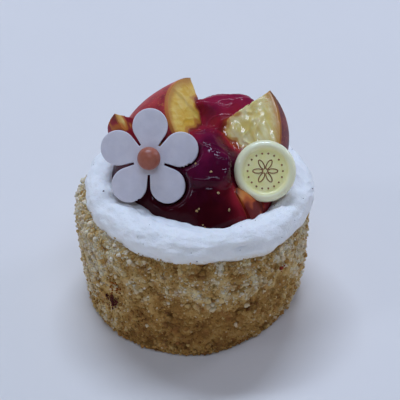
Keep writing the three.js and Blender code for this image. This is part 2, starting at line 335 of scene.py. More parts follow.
class Surface:
    """A material that ends in one Principled shader, and the patterns that feed it."""

    def __init__(self, name: str) -> None:
        """Starts an empty material of that name."""
        self.material = bpy.data.materials.new(name)
        self.material.use_nodes = True
        self.tree = self.material.node_tree
        self.tree.nodes.clear()
        self.place = self.add("ShaderNodeTexCoord").outputs["Object"]

    def add(self, kind: str, inputs: dict | None = None, ramp: Sequence[tuple[float, str]] = (),
            **settings: object) -> bpy.types.Node:
        """Adds a node to this material."""
        return add(self.tree, kind, inputs, ramp, **settings)

    def mottle(self, size: float, detail: float = 3.0, roughness: float = 0.55,
               place: Socket | None = None) -> Socket:
        """Noise between 0 and 1.

        Args:
            size: the size of its patches in millimetres
            detail: how many finer layers it has
            roughness: how strong those are
            place: the coordinates, if not the piece's own

        Returns:
            The noise.
        """
        noise_node = self.add("ShaderNodeTexNoise", {
            "Vector": place or self.place, "Scale": per_mm(size),
            "Detail": detail, "Roughness": roughness,
        })
        return noise_node.outputs["Fac"]

    def mark(self, name: str) -> Socket:
        """A value that the mesh carries at each point."""
        return self.add("ShaderNodeAttribute", attribute_name=name).outputs["Fac"]

    def band(self, value: Socket, low: float, high: float,
             to_low: float = 0.0, to_high: float = 1.0) -> Socket:
        """Turns a value between low and high into one between to_low and to_high, smoothly."""
        return self.add("ShaderNodeMapRange", {
            "Value": value, "From Min": low, "From Max": high, "To Min": to_low, "To Max": to_high,
        }, interpolation_type="SMOOTHSTEP").outputs["Result"]

    def sum(self, kind: str, first: object, second: object) -> Socket:
        """The result of a sum of two values, such as ADD or MULTIPLY."""
        node = self.add("ShaderNodeMath", operation=kind)
        for socket, value in zip(node.inputs, (first, second)):
            feed(self.tree, socket, value)
        return node.outputs["Value"]

    def ramp(self, value: Socket, *stops: tuple[float, str]) -> Socket:
        """The colour that a value picks between stops."""
        return self.add("ShaderNodeValToRGB", {"Fac": value}, ramp=stops).outputs["Color"]

    def mix(self, share: object, first: object, second: object, blend: str = "MIX") -> Socket:
        """Mixes two colours.

        Args:
            share: how much of the second colour shows
            first: a hex colour or a socket
            second: a hex colour or a socket
            blend: how the two meet

        Returns:
            The mixed colour.
        """
        node = self.add("ShaderNodeMix", data_type="RGBA", blend_type=blend)
        colours = [socket for socket in node.inputs if socket.type == "RGBA"]
        for socket, value in zip((node.inputs["Factor"], *colours), (share, first, second)):
            feed(self.tree, socket, value)
        return next(socket for socket in node.outputs if socket.type == "RGBA")

    def tint(self, colour: object, other: object, value: Socket, low: float, high: float,
             most: float = 1.0) -> Socket:
        """Turns a colour into another while a value goes from low to high, by a share at most."""
        return self.mix(self.band(value, low, high, 0.0, most), colour, other)

    def bump(self, height: Socket, depth: float) -> Socket:
        """A normal from a height between 0 and 1 that stands for a depth in millimetres."""
        return self.add("ShaderNodeBump", {"Height": height, "Distance": depth * MM}).outputs["Normal"]

    def finish(self, **inputs: object) -> bpy.types.Material:
        """Ends the material in its shader, whose inputs have underscores for spaces."""
        named = {name.replace("_", " "): value for name, value in inputs.items()}
        shader = self.add("ShaderNodeBsdfPrincipled", named)
        self.add("ShaderNodeOutputMaterial", {"Surface": shader.outputs["BSDF"]})
        return self.material


# Dry crumbs scatter light inside and hardly shine
SPONGE = {
    "Roughness": 0.95, "IOR": 1.4, "Specular_IOR_Level": 0.2,
    "Subsurface_Weight": 0.4, "Subsurface_Radius": (1.0, 0.7, 0.4), "Subsurface_Scale": 0.8 * MM,
}
TOASTED = "#9a6238"
TOASTED_PATCH = 3.4


def toasted(surface: Surface, colour: Socket) -> Socket:
    """The colour of sponge, with patches a few crumbs wide that browned more in the oven."""
    return surface.tint(colour, TOASTED, surface.mottle(TOASTED_PATCH), 0.5, 0.72, 0.38)


@dataclass(frozen=True)
class SpongeFinish:
    """Dry baked sponge, torn into crumbs: dull, soft and uneven in colour.

    Its pores are finer than a pixel, so the grain is drawn as coarse as a small crumb.
    """

    name: str
    dark: str
    light: str
    grain: float = 0.5

    def make(self) -> bpy.types.Material:
        """Builds the material."""
        surface = Surface(self.name)
        tone = surface.sum("ADD", surface.mark("tone"), surface.mottle(self.grain))
        colour = surface.ramp(surface.sum("MULTIPLY", tone, 0.5), (0.25, self.dark), (0.75, self.light))
        normal = surface.bump(surface.mottle(self.grain / 2), 0.25)
        return surface.finish(Base_Color=toasted(surface, colour), Normal=normal, **SPONGE)


@dataclass(frozen=True)
class CoatFinish:
    """Dry sponge, rubbed fine and pressed on: pale, golden and brown in patches, with painted shade in
    the hollows.
    """

    name: str = "sponge_crumb_bed"
    stops: tuple[tuple[float, str], ...] = (
        (0.0, "#dcc697"), (0.3, "#c29e62"), (0.6, "#a2783e"), (0.9, "#825a2c"),
    )
    grain: float = 1.3
    pore: float = 0.45

    def make(self) -> bpy.types.Material:
        """Builds the material."""
        surface = Surface(self.name)
        fine = surface.band(surface.mottle(self.grain, detail=4, roughness=0.7), 0.2, 0.8, -0.16, 0.16)
        colour = surface.ramp(surface.sum("ADD", surface.mark("golden_and_shade"), fine), *self.stops)
        # Painted shade: the bed is darker in the hollows of the relief
        hollow_shade = surface.band(surface.mark("relief"), -0.8, 0.1, 0.85, 1.0)
        shaded = surface.mix(1.0, toasted(surface, colour), hollow_shade, "MULTIPLY")
        normal = surface.bump(surface.mottle(self.pore), 0.3)
        return surface.finish(Base_Color=shaded, Normal=normal, **SPONGE)


@dataclass(frozen=True)
class CreamFinish:
    """Whipped cream, smoothed with a palette knife: white, milky and softly shining, with painted shade
    in its fold, ledge step and dents.

    Its air bubbles are too fine to show, so they are drawn half a millimetre wide.
    """

    name: str = "whipped_vanilla_cream"
    white: str = "#f4f3f0"
    shade: str = "#e9e8e6"
    dusted: str = "#dcc8a2"
    # Painted shade for the fold, the step of the ledge and the dents
    hollow_shade: str = "#b9bfcc"
    stroke: float = 5.0
    crumb: float = 0.9
    bubble: float = 0.5
    lump: float = 2.2

    def make(self) -> bpy.types.Material:
        """Builds the material."""
        surface = Surface(self.name)
        colour = surface.mix(surface.mottle(self.stroke), self.shade, self.white)
        crumbs = surface.band(surface.mottle(self.crumb), 0.3, 0.6)
        crumby = surface.sum("MULTIPLY", surface.mark("dust"), crumbs)
        colour = surface.mix(crumby, colour, self.dusted)
        # Painted shade in the fold, the step of the ledge and the dents
        colour = surface.tint(colour, self.hollow_shade, surface.mark("hollow_shade"), 0.15, 1.5, 0.8)
        air = surface.sum("ADD", surface.mottle(self.bubble), surface.mottle(self.lump))
        return surface.finish(
            Base_Color=colour, Roughness=0.42, IOR=1.36, Specular_IOR_Level=0.4,
            Subsurface_Weight=0.2, Subsurface_Radius=(1.0, 0.8, 0.6), Subsurface_Scale=1.2 * MM,
            Normal=surface.bump(air, 0.25),
        )


@dataclass(frozen=True)
class VanillaFinish:
    """Vanilla pod, dried and ground: nearly black dull specks."""

    name: str = "ground_vanilla"
    dark: str = "#17110d"
    light: str = "#3a2d22"
    grain: float = 0.3

    def make(self) -> bpy.types.Material:
        """Builds the material."""
        surface = Surface(self.name)
        colour = surface.mix(surface.mottle(self.grain), self.dark, self.light)
        return surface.finish(Base_Color=colour, Roughness=0.7)


@dataclass(frozen=True)
class GlazeFinish:
    """Fruit glaze, poured and set: a thick dark red jelly with a wet gloss, brighter where thin, and
    with painted light and shade: darker low down, partly for its depth, and lighter on the tops.
    """

    name: str = "red_fruit_glaze"
    deep: str = "#340810"
    body: str = "#4c0d29"
    face: str = "#681637"
    high: str = "#8c213e"
    thin: str = "#93222e"
    stained: str = "#bb5c2a"
    cloud: float = 6.0
    wave: float = 1.6

    def make(self) -> bpy.types.Material:
        """Builds the material."""
        surface = Surface(self.name)
        cloud = surface.band(surface.mottle(self.cloud), 0.3, 0.7, -0.12, 0.12)
        level = surface.sum("ADD", surface.mark("level"), cloud)
        # Painted light and shade by height: darker low down, partly for the depth of the glaze, and
        # lighter on the tops
        stops = ((0.0, self.deep), (0.5, self.body), (0.72, self.face), (1.0, self.high))
        body = surface.ramp(level, *stops)
        over = surface.mark("thin")
        colour = surface.tint(body, self.thin, over, 0.0, 0.7)
        colour = surface.tint(colour, self.stained, over, 0.62, 0.98)
        return surface.finish(
            Base_Color=colour, Roughness=0.07, IOR=1.3, Specular_IOR_Level=0.26,
            Subsurface_Weight=0.12, Subsurface_Radius=(1.0, 0.12, 0.1), Subsurface_Scale=3 * MM,
            Normal=surface.bump(surface.mottle(self.wave), 0.05),
        )


@dataclass(frozen=True)
class NectarineFinish:
    """Ripe nectarine, cut: thin red skin, and wet yellow flesh with fibres from stone to skin."""

    name: str
    skin: str = "#9c2a2c"
    skin_dark: str = "#5c1420"
    flesh: str = "#e6b843"
    flesh_pale: str = "#e8cd74"
    rind: str = "#c08030"
    vein: str = "#9c8a2c"
    stained: str = "#c4702a"
    sauce: str = "#7e1c26"
    stem: str = "#5a3418"
    blush: float = 6.0
    freckle: float = 0.8
    patch: float = 5.0
    pore: float = 0.7
    skin_roughness: float = 0.5
    roughness: float = 0.3
    gloss: float = 0.2
    grain_depth: float = 0.05

    def make(self) -> bpy.types.Material:
        """Builds the material."""
        surface = Surface(self.name)
        blush = surface.mottle(self.blush, detail=4)
        skin = surface.ramp(blush, (0.3, self.skin_dark), (0.62, self.skin))
        skin = surface.tint(skin, self.rind, surface.mottle(self.freckle, detail=0), 0.66, 0.74, 0.35)
        skin = surface.tint(skin, self.rind, surface.mark("edge"), 0.3, 1.0, 0.7)
        # The mesh carries the place along and across the fibres in widths of a fibre, not in metres
        fibre_place = surface.add("ShaderNodeAttribute", attribute_name="fibre").outputs["Vector"]
        fibres = surface.mottle(1 / MM, place=fibre_place)
        streaks = surface.band(fibres, 0.3, 0.7, -0.12, 0.12)
        patches = surface.sum("ADD", surface.mottle(self.patch), streaks)
        flesh = surface.tint(self.flesh, self.flesh_pale, patches, 0.3, 0.7)
        depth = surface.mark("depth")
        under_skin = surface.sum("ADD", depth, surface.band(patches, 0.2, 0.8, -0.5, 0.5))
        flesh = surface.tint(flesh, self.rind, under_skin, 3.6, 0.4, 0.85)
        flesh = surface.mix(surface.mark("vein"), flesh, self.vein)
        colour = surface.tint(flesh, skin, depth, 0.34, 0.16)
        wet = surface.mark("sauce")
        colour = surface.tint(colour, self.stained, wet, 0.05, 0.55, 0.9)
        colour = surface.tint(colour, self.sauce, wet, 0.66, 1.0)
        colour = surface.mix(surface.mark("tip"), colour, self.stem)
        on_flesh = surface.band(depth, 0.16, 0.6)
        grain = surface.sum("ADD", surface.mottle(self.pore), fibres)
        return surface.finish(
            Base_Color=colour, IOR=1.38, Specular_IOR_Level=0.4,
            Roughness=surface.band(on_flesh, 0.0, 1.0, self.skin_roughness, self.roughness),
            Subsurface_Weight=0.2, Subsurface_Radius=(1.0, 0.45, 0.15), Subsurface_Scale=2 * MM,
            Coat_Weight=surface.sum("MULTIPLY", on_flesh, self.gloss),
            Coat_Roughness=0.06, Coat_IOR=1.36,
            Normal=surface.bump(grain, self.grain_depth),
        )


@dataclass(frozen=True)
class ChocolateFinish:
    """Tempered chocolate, moulded: smooth and satin, faintly clouded where it set."""

    name: str
    body: str
    cloud: str
    roughness: float = 0.35
    coat: float = 0.0
    rim: str = ""
    cloud_size: float = 3.5
    wave: float = 0.9

    def make(self) -> bpy.types.Material:
        """Builds the material."""
        surface = Surface(self.name)
        colour = surface.tint(self.body, self.cloud, surface.mottle(self.cloud_size), 0.35, 0.65)
        if self.rim:
            colour = surface.mix(surface.mark("rim"), colour, self.rim)
        return surface.finish(
            Base_Color=colour, Roughness=self.roughness, IOR=1.46,
            Subsurface_Weight=0.25, Subsurface_Radius=(1.0, 0.8, 0.55), Subsurface_Scale=1.5 * MM,
            Coat_Weight=self.coat, Coat_Roughness=0.12,
            Normal=surface.bump(surface.mottle(self.wave), 0.03),
        )


# Crumbs

# How many different crumbs a piece is made of
CRUMB_SHAPES = 16


def crumb_shapes(rng: Rng, count: int, finer: bool) -> tuple[np.ndarray, np.ndarray]:
    """The points of some uneven crumbs of about unit radius, and the faces that all of them share."""
    ball = bmesh.new()
    bmesh.ops.create_icosphere(ball, subdivisions=2 if finer else 1, radius=1)
    points = np.array([vert.co for vert in ball.verts])
    faces = np.array([[vert.index for vert in face.verts] for face in ball.faces])
    ball.free()
    knobbly = rng.uniform(0.68, 1.25, (count, len(points), 1))
    return points[None] * knobbly, faces


def turned(rng: Rng, count: int) -> np.ndarray:
    """Random turns, as one 3 by 3 matrix for each."""
    q = rng.normal(size=(count, 4))
    w, x, y, z = (q / np.linalg.norm(q, axis=1, keepdims=True)).T
    rows = [
        [1 - 2 * (y * y + z * z), 2 * (x * y - w * z), 2 * (x * z + w * y)],
        [2 * (x * y + w * z), 1 - 2 * (x * x + z * z), 2 * (y * z - w * x)],
        [2 * (x * z - w * y), 2 * (y * z + w * x), 1 - 2 * (x * x + y * y)],
    ]
    return np.moveaxis(np.array(rows), 2, 0)


def crumb_mesh(name: str, places: np.ndarray, sizes: np.ndarray, rng: Rng,
               finer: bool = False) -> bpy.types.Mesh:
    """Many crumbs as one mesh in metres, each turned, stretched and toned in its own way.

    Args:
        name: the mesh's name
        places: the middle of each crumb in millimetres
        sizes: the radius of each crumb in millimetres
        rng: the source of random numbers
        finer: whether they have 80 faces each, and not 20

    Returns:
        The mesh.
    """
    shapes, faces = crumb_shapes(rng, CRUMB_SHAPES, finer)
    count = len(places)
    shape = shapes[rng.integers(0, len(shapes), count)]
    stretch = rng.uniform(0.75, 1.3, (count, 1, 3)) * sizes[:, None, None]
    points = np.einsum("nij,nkj->nki", turned(rng, count), shape * stretch) + places[:, None]
    corners = faces[None] + (np.arange(count) * shapes.shape[1])[:, None, None]
    mesh = bpy.data.meshes.new(name)
    mesh.from_pydata(points.reshape(-1, 3) * MM, [], corners.reshape(-1, 3), shade_flat=False)
    tone = mesh.attributes.new("tone", "FLOAT", "POINT")
    tone.data.foreach_set("value", np.repeat(rng.random(count), shapes.shape[1]).astype(np.float32))
    return mesh


def inside(tree: BVHTree, point: Vector) -> bool:
    """Whether a point is behind the nearest face of a closed skin."""
    place, normal, _, _ = tree.find_nearest(point)
    return (point - place).dot(normal) < 0


@dataclass(frozen=True)
class CrumbKind:
    """One kind of crumb: its two colours, and how golden the palest of its kind is, painted shade
    included.
    """

    name: str
    light: str
    dark: str
    golden_and_shade: float


@dataclass(frozen=True)
class CrumbSpot:
    """A patch of dark crumbs seen in the photograph: its pixel, radius, count and colours."""

    name: str
    pixel: Pair
    radius: float
    count: int
    light: str
    dark: str


@dataclass
class CrumbedCake:
    """The round cake and its coat of sponge crumbs."""

    radius: float = 37.7
    height: float = 40.0
    side: tuple[Pair, ...] = (
        (-2.7, 0), (-1.8, 1.5), (-0.8, 12), (0, 25), (0, 33), (-0.9, 37.6), (-3.2, 39.7), (-6, 40),
    )
    top_rings: tuple[float, ...] = (28, 20, 10, 0)
    foot_rings: tuple[float, ...] = (0, 12, 24, 32)
    rounds: int = 620
    profile_steps: int = 16
    lean: float = 0.012
    foot_tuck: float = 2.4
    foot_tuck_angle: float = math.radians(-42)
    foot_tuck_spread: float = math.radians(32)
    foot_tuck_height: float = 13.0

    # The relief of the coat
    coat_width: float = 6.5
    coat_rise: float = 3.0
    coat_sink: float = 0.8
    broad: Layers = ((0.35, 14, 0), (0.3, 5, 9))
    fuzz: Layers = ((0.1, 0.6, 0),)
    warp: float = 0.5
    warp_size: float = 1.6
    clump: float = 3.1
    clump_height: float = 1.05
    grain: float = 1.2
    grain_height: float = 0.35

    # How golden it is, with painted shade under the cream at the front and partly over the whole front
    tan: float = 0.2
    tan_low_front: float = 0.38
    tan_front: float = 0.1
    tan_low: float = 0.1
    tan_shaded: float = 0.18
    front: Pair = (math.radians(-86), math.radians(48))
    shaded: Pair = (math.radians(-97), math.radians(36))
    shaded_height: Pair = (31, 37)
    low_height: Pair = (15, 30)
    low_wave: Layers = ((3, 9, 7),)
    patches: Layers = ((0.1, 15, 4), (0.17, 5, 8), (0.15, 2.4, 2))
    # Painted light and shade: crumbs paler on the tops of the relief and darker in its hollows
    relief_shade: float = 0.28

    # The crumbs
    fine_count: int = 20500
    coarse_count: int = 7600
    fine: Pair = (0.2, 0.45)
    coarse: Pair = (0.32, 0.85)
    small_bias: float = 2.2
    bury: float = 0.35
    clearance: float = 1.6
    cream_crumb_count: int = 1700
    cream_crumb_foot: float = 36.0
    cream_crumb_rise: float = 6.0
    cream_crumb_fade: float = 0.45
    colour_spread: float = 0.1
    pale_share: float = 0.24
    pale_step: float = 0.2
    spot_lift: float = 0.5
    seed: int = 7
    kinds: tuple[CrumbKind, ...] = (
        CrumbKind("crumbs_ivory", "#e6dac2", "#d3c09c", -9),
        CrumbKind("crumbs_ash", "#dcc9a4", "#c4aa7e", 0.06),
        CrumbKind("crumbs_straw", "#d0b27c", "#b49056", 0.2),
        CrumbKind("crumbs_honey", "#c39d5e", "#a67d42", 0.34),
        CrumbKind("crumbs_golden", "#b0854a", "#8f6632", 0.52),
        CrumbKind("crumbs_brown", "#96693a", "#775029", 0.82),
    )
    spots: tuple[CrumbSpot, ...] = (
        CrumbSpot("crumbs_toasted", (116, 287), 1.7, 60, "#a9642b", "#7e4218"),
        CrumbSpot("crumbs_fruit", (113, 300), 2.6, 90, "#6b2f2c", "#3c1618"),
        CrumbSpot("crumbs_red", (280, 268), 0.9, 16, "#a3402f", "#7a2c22"),
    )
    skin: Skin = field(init=False)
    tree: BVHTree = field(init=False)

    def settle(self, point: Vector) -> Vector:
        """Tucks the foot in at the right front and leans the cake to the left as it rises."""
        near = nearness(math.atan2(point.y, point.x), self.foot_tuck_angle, self.foot_tuck_spread)
        tuck = self.foot_tuck * near * (1 - smoothstep(point.z, 0, self.foot_tuck_height))
        share = 1 - tuck / self.radius
        return Vector((point.x * share - self.lean * point.z, point.y * share, point.z))

    def profile(self) -> list[Vector]:
        """The side from its foot over the belly to the rounded shoulder."""
        return smooth_line([(self.radius + r, z) for r, z in self.side], self.profile_steps)

    def relief(self, point: Vector) -> float:
        """How far the coat stands out at a point: broad swells, clumps and grains."""
        warp = Vector([swell(point, self.warp_size, shift) for shift in (1, 3, 5)])
        warped = point + warp * self.warp
        clump, grain = (dome(noise.voronoi(warped / size)[0][0]) for size in (self.clump, self.grain))
        height = swells(point, self.broad) + self.clump_height * clump + self.grain_height * grain
        height += swells(point, self.fuzz) - self.coat_sink
        return smoothstep(point.z, 0, self.coat_rise) * height

    def golden_and_shade(self, point: Vector) -> float:
        """How golden the coat is at a point, from about 0 to 1: most of all low in front, with painted
        shade under the cream at the front and partly over the whole front.
        """
        angle = math.atan2(point.y, point.x)
        front = nearness(angle, *self.front)
        low = 1 - smoothstep(point.z + swells(point, self.low_wave), *self.low_height)
        # Painted shadow of the cream on the coat at the front, with browner crumbs there too
        shaded = nearness(angle, *self.shaded) * smoothstep(point.z, *self.shaded_height)
        # The front term darkens the whole front, partly as painted shade
        tan = self.tan + self.tan_low_front * front * low + self.tan_front * front + self.tan_low * low
        return tan + self.tan_shaded * shaded + swells(point, self.patches)

    def shape(self) -> None:
        """Makes the skin of the cake with its relief."""
        top = [Vector((r, self.height)) for r in self.top_rings]
        foot = [Vector((r, 0)) for r in self.foot_rings]
        self.skin = spun([*foot, *self.profile(), *top], self.rounds)
        for vert in self.skin.verts:
            vert.co = self.settle(vert.co)
        relief, golden_and_shade = (self.skin.verts.layers.float.new(name) for name in ("relief", "golden_and_shade"))
        self.skin.normal_update()
        for vert in self.skin.verts:
            if math.hypot(vert.co.x, vert.co.y) < self.radius - self.coat_width:
                continue
            height = self.relief(vert.co)
            vert[relief] = height
            # Painted light and shade: paler on the tops of the relief, darker in its hollows
            vert[golden_and_shade] = self.golden_and_shade(vert.co) - self.relief_shade * height / 2
            vert.co += vert.normal * height
            vert.co.z = max(vert.co.z, 0)
        self.tree = BVHTree.FromBMesh(self.skin)

    def side_places(self, rng: Rng, count: int, cream: BVHTree) -> list[Spot]:
        """Where crumbs stick to the side outside the cream, of a count of places to try."""
        side = self.profile()
        found = []
        for turn, along in rng.random((count, 2)):
            spot = side[int(along * (len(side) - 1))]
            point = self.settle(around(math.tau * turn, spot.x, spot.y))
            place, normal, _, _ = self.tree.find_nearest(point)
            if not inside(cream, place):
                # Painted light and shade: paler on the tops of the relief, darker in its hollows
                found.append((place, normal, self.golden_and_shade(place) - self.relief_shade * self.relief(point)))
        return found

    def cream_places(self, rng: Rng, cream: BVHTree) -> list[Spot]:
        """Where crumbs stick to the lower edge of the cream, fewer higher up."""
        found = []
        for turn, rise, draw in rng.random((self.cream_crumb_count, 3)):
            height = self.cream_crumb_foot + self.cream_crumb_rise * rise
            place, normal, _, _ = cream.find_nearest(around(math.tau * turn, self.radius + 1, height))
            away = self.tree.find_nearest(place)[3]
            if not inside(self.tree, place) and draw < math.exp(-away / self.cream_crumb_fade):
                found.append((place, normal, self.golden_and_shade(place)))
        return found

    def dress(self, cream: BVHTree, studio: Studio) -> None:
        """Makes the finished cake and its crumbs.

        Args:
            cream: the cream, which the crumbs of the side stay out of
            studio: the camera, to find the dark spots
        """
        rng = np.random.default_rng(self.seed)
        fine = self.side_places(rng, self.fine_count, cream) + self.cream_places(rng, cream)
        self.sort("", fine, self.fine, rng)
        self.sort("_coarse", self.side_places(rng, self.coarse_count, cream), self.coarse, rng)
        for spot in self.spots:
            place = self.tree.ray_cast(Vector(studio.place), studio.ray(*spot.pixel))[0]
            beside = [place + Vector(move) for move in rng.normal(0, spot.radius / 2, (spot.count, 3))]
            near = [self.tree.find_nearest(point)[:2] for point in beside]
            near = [(point + out * self.spot_lift, out) for point, out in near]
            self.stick(spot.name, near, spot, self.fine, rng)
        stand(to_mesh(self.skin, "cake"), CoatFinish().make(), Slot.CRUMB, "cake_drum")

    def sort(self, ending: str, found: Sequence[Spot], sizes: Pair, rng: Rng) -> None:
        """Sorts crumbs into kinds by how golden they are, painted shade included, and sticks each kind
        on.

        Args:
            ending: what the name of each kind ends in
            found: where the crumbs stick
            sizes: the smallest and largest radius
            rng: the source of random numbers
        """
        golden_and_shade = np.array([golden_and_shade for _, _, golden_and_shade in found])
        golden_and_shade += rng.normal(0, self.colour_spread, len(found))
        golden_and_shade -= self.pale_step * (rng.random(len(found)) < self.pale_share)
        picked = sum((golden_and_shade > kind.golden_and_shade).astype(int) for kind in self.kinds) - 1
        for i, kind in enumerate(self.kinds):
            these = [found[j][:2] for j in np.flatnonzero(picked == i)]
            self.stick(kind.name + ending, these, kind, sizes, rng)

    def stick(self, name: str, found: Sequence[tuple[Vector, Vector]], kind: CrumbKind | CrumbSpot,
              sizes: Pair, rng: Rng) -> None:
        """Sticks crumbs of one kind to the coat.

        Args:
            name: the name of the piece
            found: the place and the way out for each
            kind: gives their colours
            sizes: the smallest and largest radius
            rng: the source of random numbers
        """
        draw = rng.random((len(found), 2))
        low, high = sizes
        radii = low + (high - low) * draw[:, 0] ** self.small_bias
        lifts = draw[:, 1] - self.bury
        stuck = zip(found, radii, lifts)
        places = np.array([place + out * radius * lift for (place, out), radius, lift in stuck])
        places[:, 2] = np.maximum(places[:, 2], self.clearance * radii)
        mesh = crumb_mesh(name, places, radii, rng, finer=high > self.fine[1])
        stand(mesh, SpongeFinish(name, kind.dark, kind.light).make(), Slot.CRUMB)


@dataclass(frozen=True)
class Dent:
    """A mark that a palette knife left in the cream."""

    place: Point
    length: float
    height: float
    depth: float

    def at(self, point: Vector) -> float:
        """How deep the mark is at a point."""
        offset = point - Vector(self.place)
        along = math.hypot(offset.x, offset.y) / self.length
        return self.depth * math.exp(-(along**2) - (offset.z / self.height) ** 2)


@dataclass
class CreamRing:
    """The ring of whipped cream, with a soft ledge inside at the left front."""

    centre: Point = (2, 0, 41.6)
    radius: float = 31.4
    half_width: float = 5.8
    half_height: float = 5.7
    width_wave: Layers = ((0.5, 16, 0),)
    height_wave: Layers = ((0.5, 13, 5),)
    rounds: int = 420
    section: int = 112

    # The ledge, and the thin fold between it and the round of the ring
    ledge_angle: float = math.radians(-121)
    ledge_spread: float = math.radians(31)
    ledge_width: float = 6.2
    ledge_sink: float = 0.7
    ledge_rag: Layers = ((0.35, 3.2, 11),)
    fold: Pair = (math.radians(-112), math.radians(27))
    fold_place: float = 1.8
    fold_drift: float = 3.1
    fold_drift_turn: Pair = (88, 134)
    fold_depth: float = 0.9
    fold_width: float = 0.5
    fold_step: float = 0.5
    fold_step_width: float = 0.9

    # The marks of the palette knife
    lumps: Layers = ((0.4, 6.5, 3), (0.24, 2.8, 8), (0.09, 1.2, 1))
    strokes: Layers = ((0.18, 1, 0), (0.06, 0.4, 2))
    stroke_length: float = 6.0
    stroke_width: float = 2.2
    dents: tuple[Dent, ...] = (
        Dent((14.7, -35, 43.8), 2.6, 0.7, 0.8),
        Dent((16.6, -35.4, 41.6), 3.2, 0.8, -0.4),
        Dent((-12, -33, 46.2), 3.5, 1.4, 0.5),
        Dent((29, -16, 46.8), 2.5, 1.5, 0.5),
        Dent((4, 32, 47), 3.5, 1.5, 0.6),
    )

    # What lies on it
    dust_height: Pair = (37.6, 41.2)
    dust_wave: Layers = ((0.9, 2, 5),)
    speck_count: int = 46
    speck_size: Pair = (0.12, 0.2)
    speck_roll: Pair = (-0.1, 1.15)
    seed: int = 11
    skin: Skin = field(init=False)
    tree: BVHTree = field(init=False)

    def sweep(self, point: Vector) -> Vector:
        """Where a point of the even unit ring goes."""
        angle = math.atan2(point.y, point.x)
        across = math.hypot(point.x, point.y) - self.radius
        middle = around(angle, self.radius)
        near = nearness(angle, self.ledge_angle, self.ledge_spread)
        ledge = near * -across if across < 0 else 0.0
        ragged = swells(middle, self.ledge_rag) * ledge
        width = self.half_width + swells(middle, self.width_wave) + self.ledge_width * ledge + ragged
        height = self.half_height + swells(middle, self.height_wave) - self.ledge_sink * ledge
        return around(angle, self.radius + across * width, point.z * height) + Vector(self.centre)

    def section_place(self, point: Vector) -> Point:
        """The angle round the ring, and how far out from and above the middle of the cream."""
        offset = point - Vector(self.centre)
        return math.atan2(offset.y, offset.x), math.hypot(offset.x, offset.y) - self.radius, offset.z

    def sunk(self, point: Vector) -> float:
        """How deep the fold and the dents go at a point."""
        angle, across, rise = self.section_place(point)
        dents = sum(dent.at(point) for dent in self.dents)
        if rise <= 0:
            return dents
        drift = self.fold_drift * smoothstep(-math.degrees(angle), *self.fold_drift_turn)
        line = -self.fold_place - drift
        step = self.fold_step * smoothstep(line - across, 0, self.fold_step_width)
        groove = self.fold_depth * bell((across - line) / self.fold_width)
        return nearness(angle, *self.fold) * (step + groove) + dents

    def stroke(self, point: Vector) -> float:
        """The low marks of the palette knife, longer round the ring than across it."""
        angle, across, rise = self.section_place(point)
        rolled = math.atan2(rise, across) * self.half_width
        drawn = around(angle, self.stroke_length, rolled / self.stroke_width)
        return swells(point, self.lumps) + swells(drawn, self.strokes) - self.sunk(point)

    def dust(self, point: Vector) -> float:
        """How much fine sponge dust clings to the cream, near its lower edge."""
        return 1 - smoothstep(point.z + swells(point, self.dust_wave), *self.dust_height)

    def shape(self) -> None:
        """Makes the skin of the ring."""
        turns = [math.tau * i / self.section for i in range(self.section)]
        circle = [Vector((self.radius + math.cos(t), math.sin(t))) for t in turns]
        self.skin = spun(circle, self.rounds, closed=True)
        for vert in self.skin.verts:
            vert.co = self.sweep(vert.co)
        # The depth of the fold, step and dents is kept to paint shade there
        mark(self.skin, "hollow_shade", self.sunk)
        raised(self.skin, self.stroke)
        mark(self.skin, "dust", self.dust)
        self.tree = BVHTree.FromBMesh(self.skin)

    def specks(self) -> None:
        """Scatters specks of vanilla over the cream."""
        rng = np.random.default_rng(self.seed)
        found = []
        start, sweep = self.speck_roll
        for turn, roll in rng.random((self.speck_count, 2)):
            tilt = math.pi * (sweep * roll + start)
            reach = self.radius + math.cos(tilt) * self.half_width
            point = around(math.tau * turn, reach, math.sin(tilt) * self.half_height)
            found.append(self.tree.find_nearest(point + Vector(self.centre))[0])
        least, spread = self.speck_size
        sizes = least + spread * rng.random(len(found)) ** 2
        mesh = crumb_mesh("vanilla_specks", np.array(found), sizes, rng)
        stand(mesh, VanillaFinish().make(), Slot.CREAM)

    def dress(self) -> None:
        """Makes the finished ring and its specks."""
        self.specks()
        stand(to_mesh(self.skin, "cream"), CreamFinish().make(), Slot.CREAM, "cream_ring")


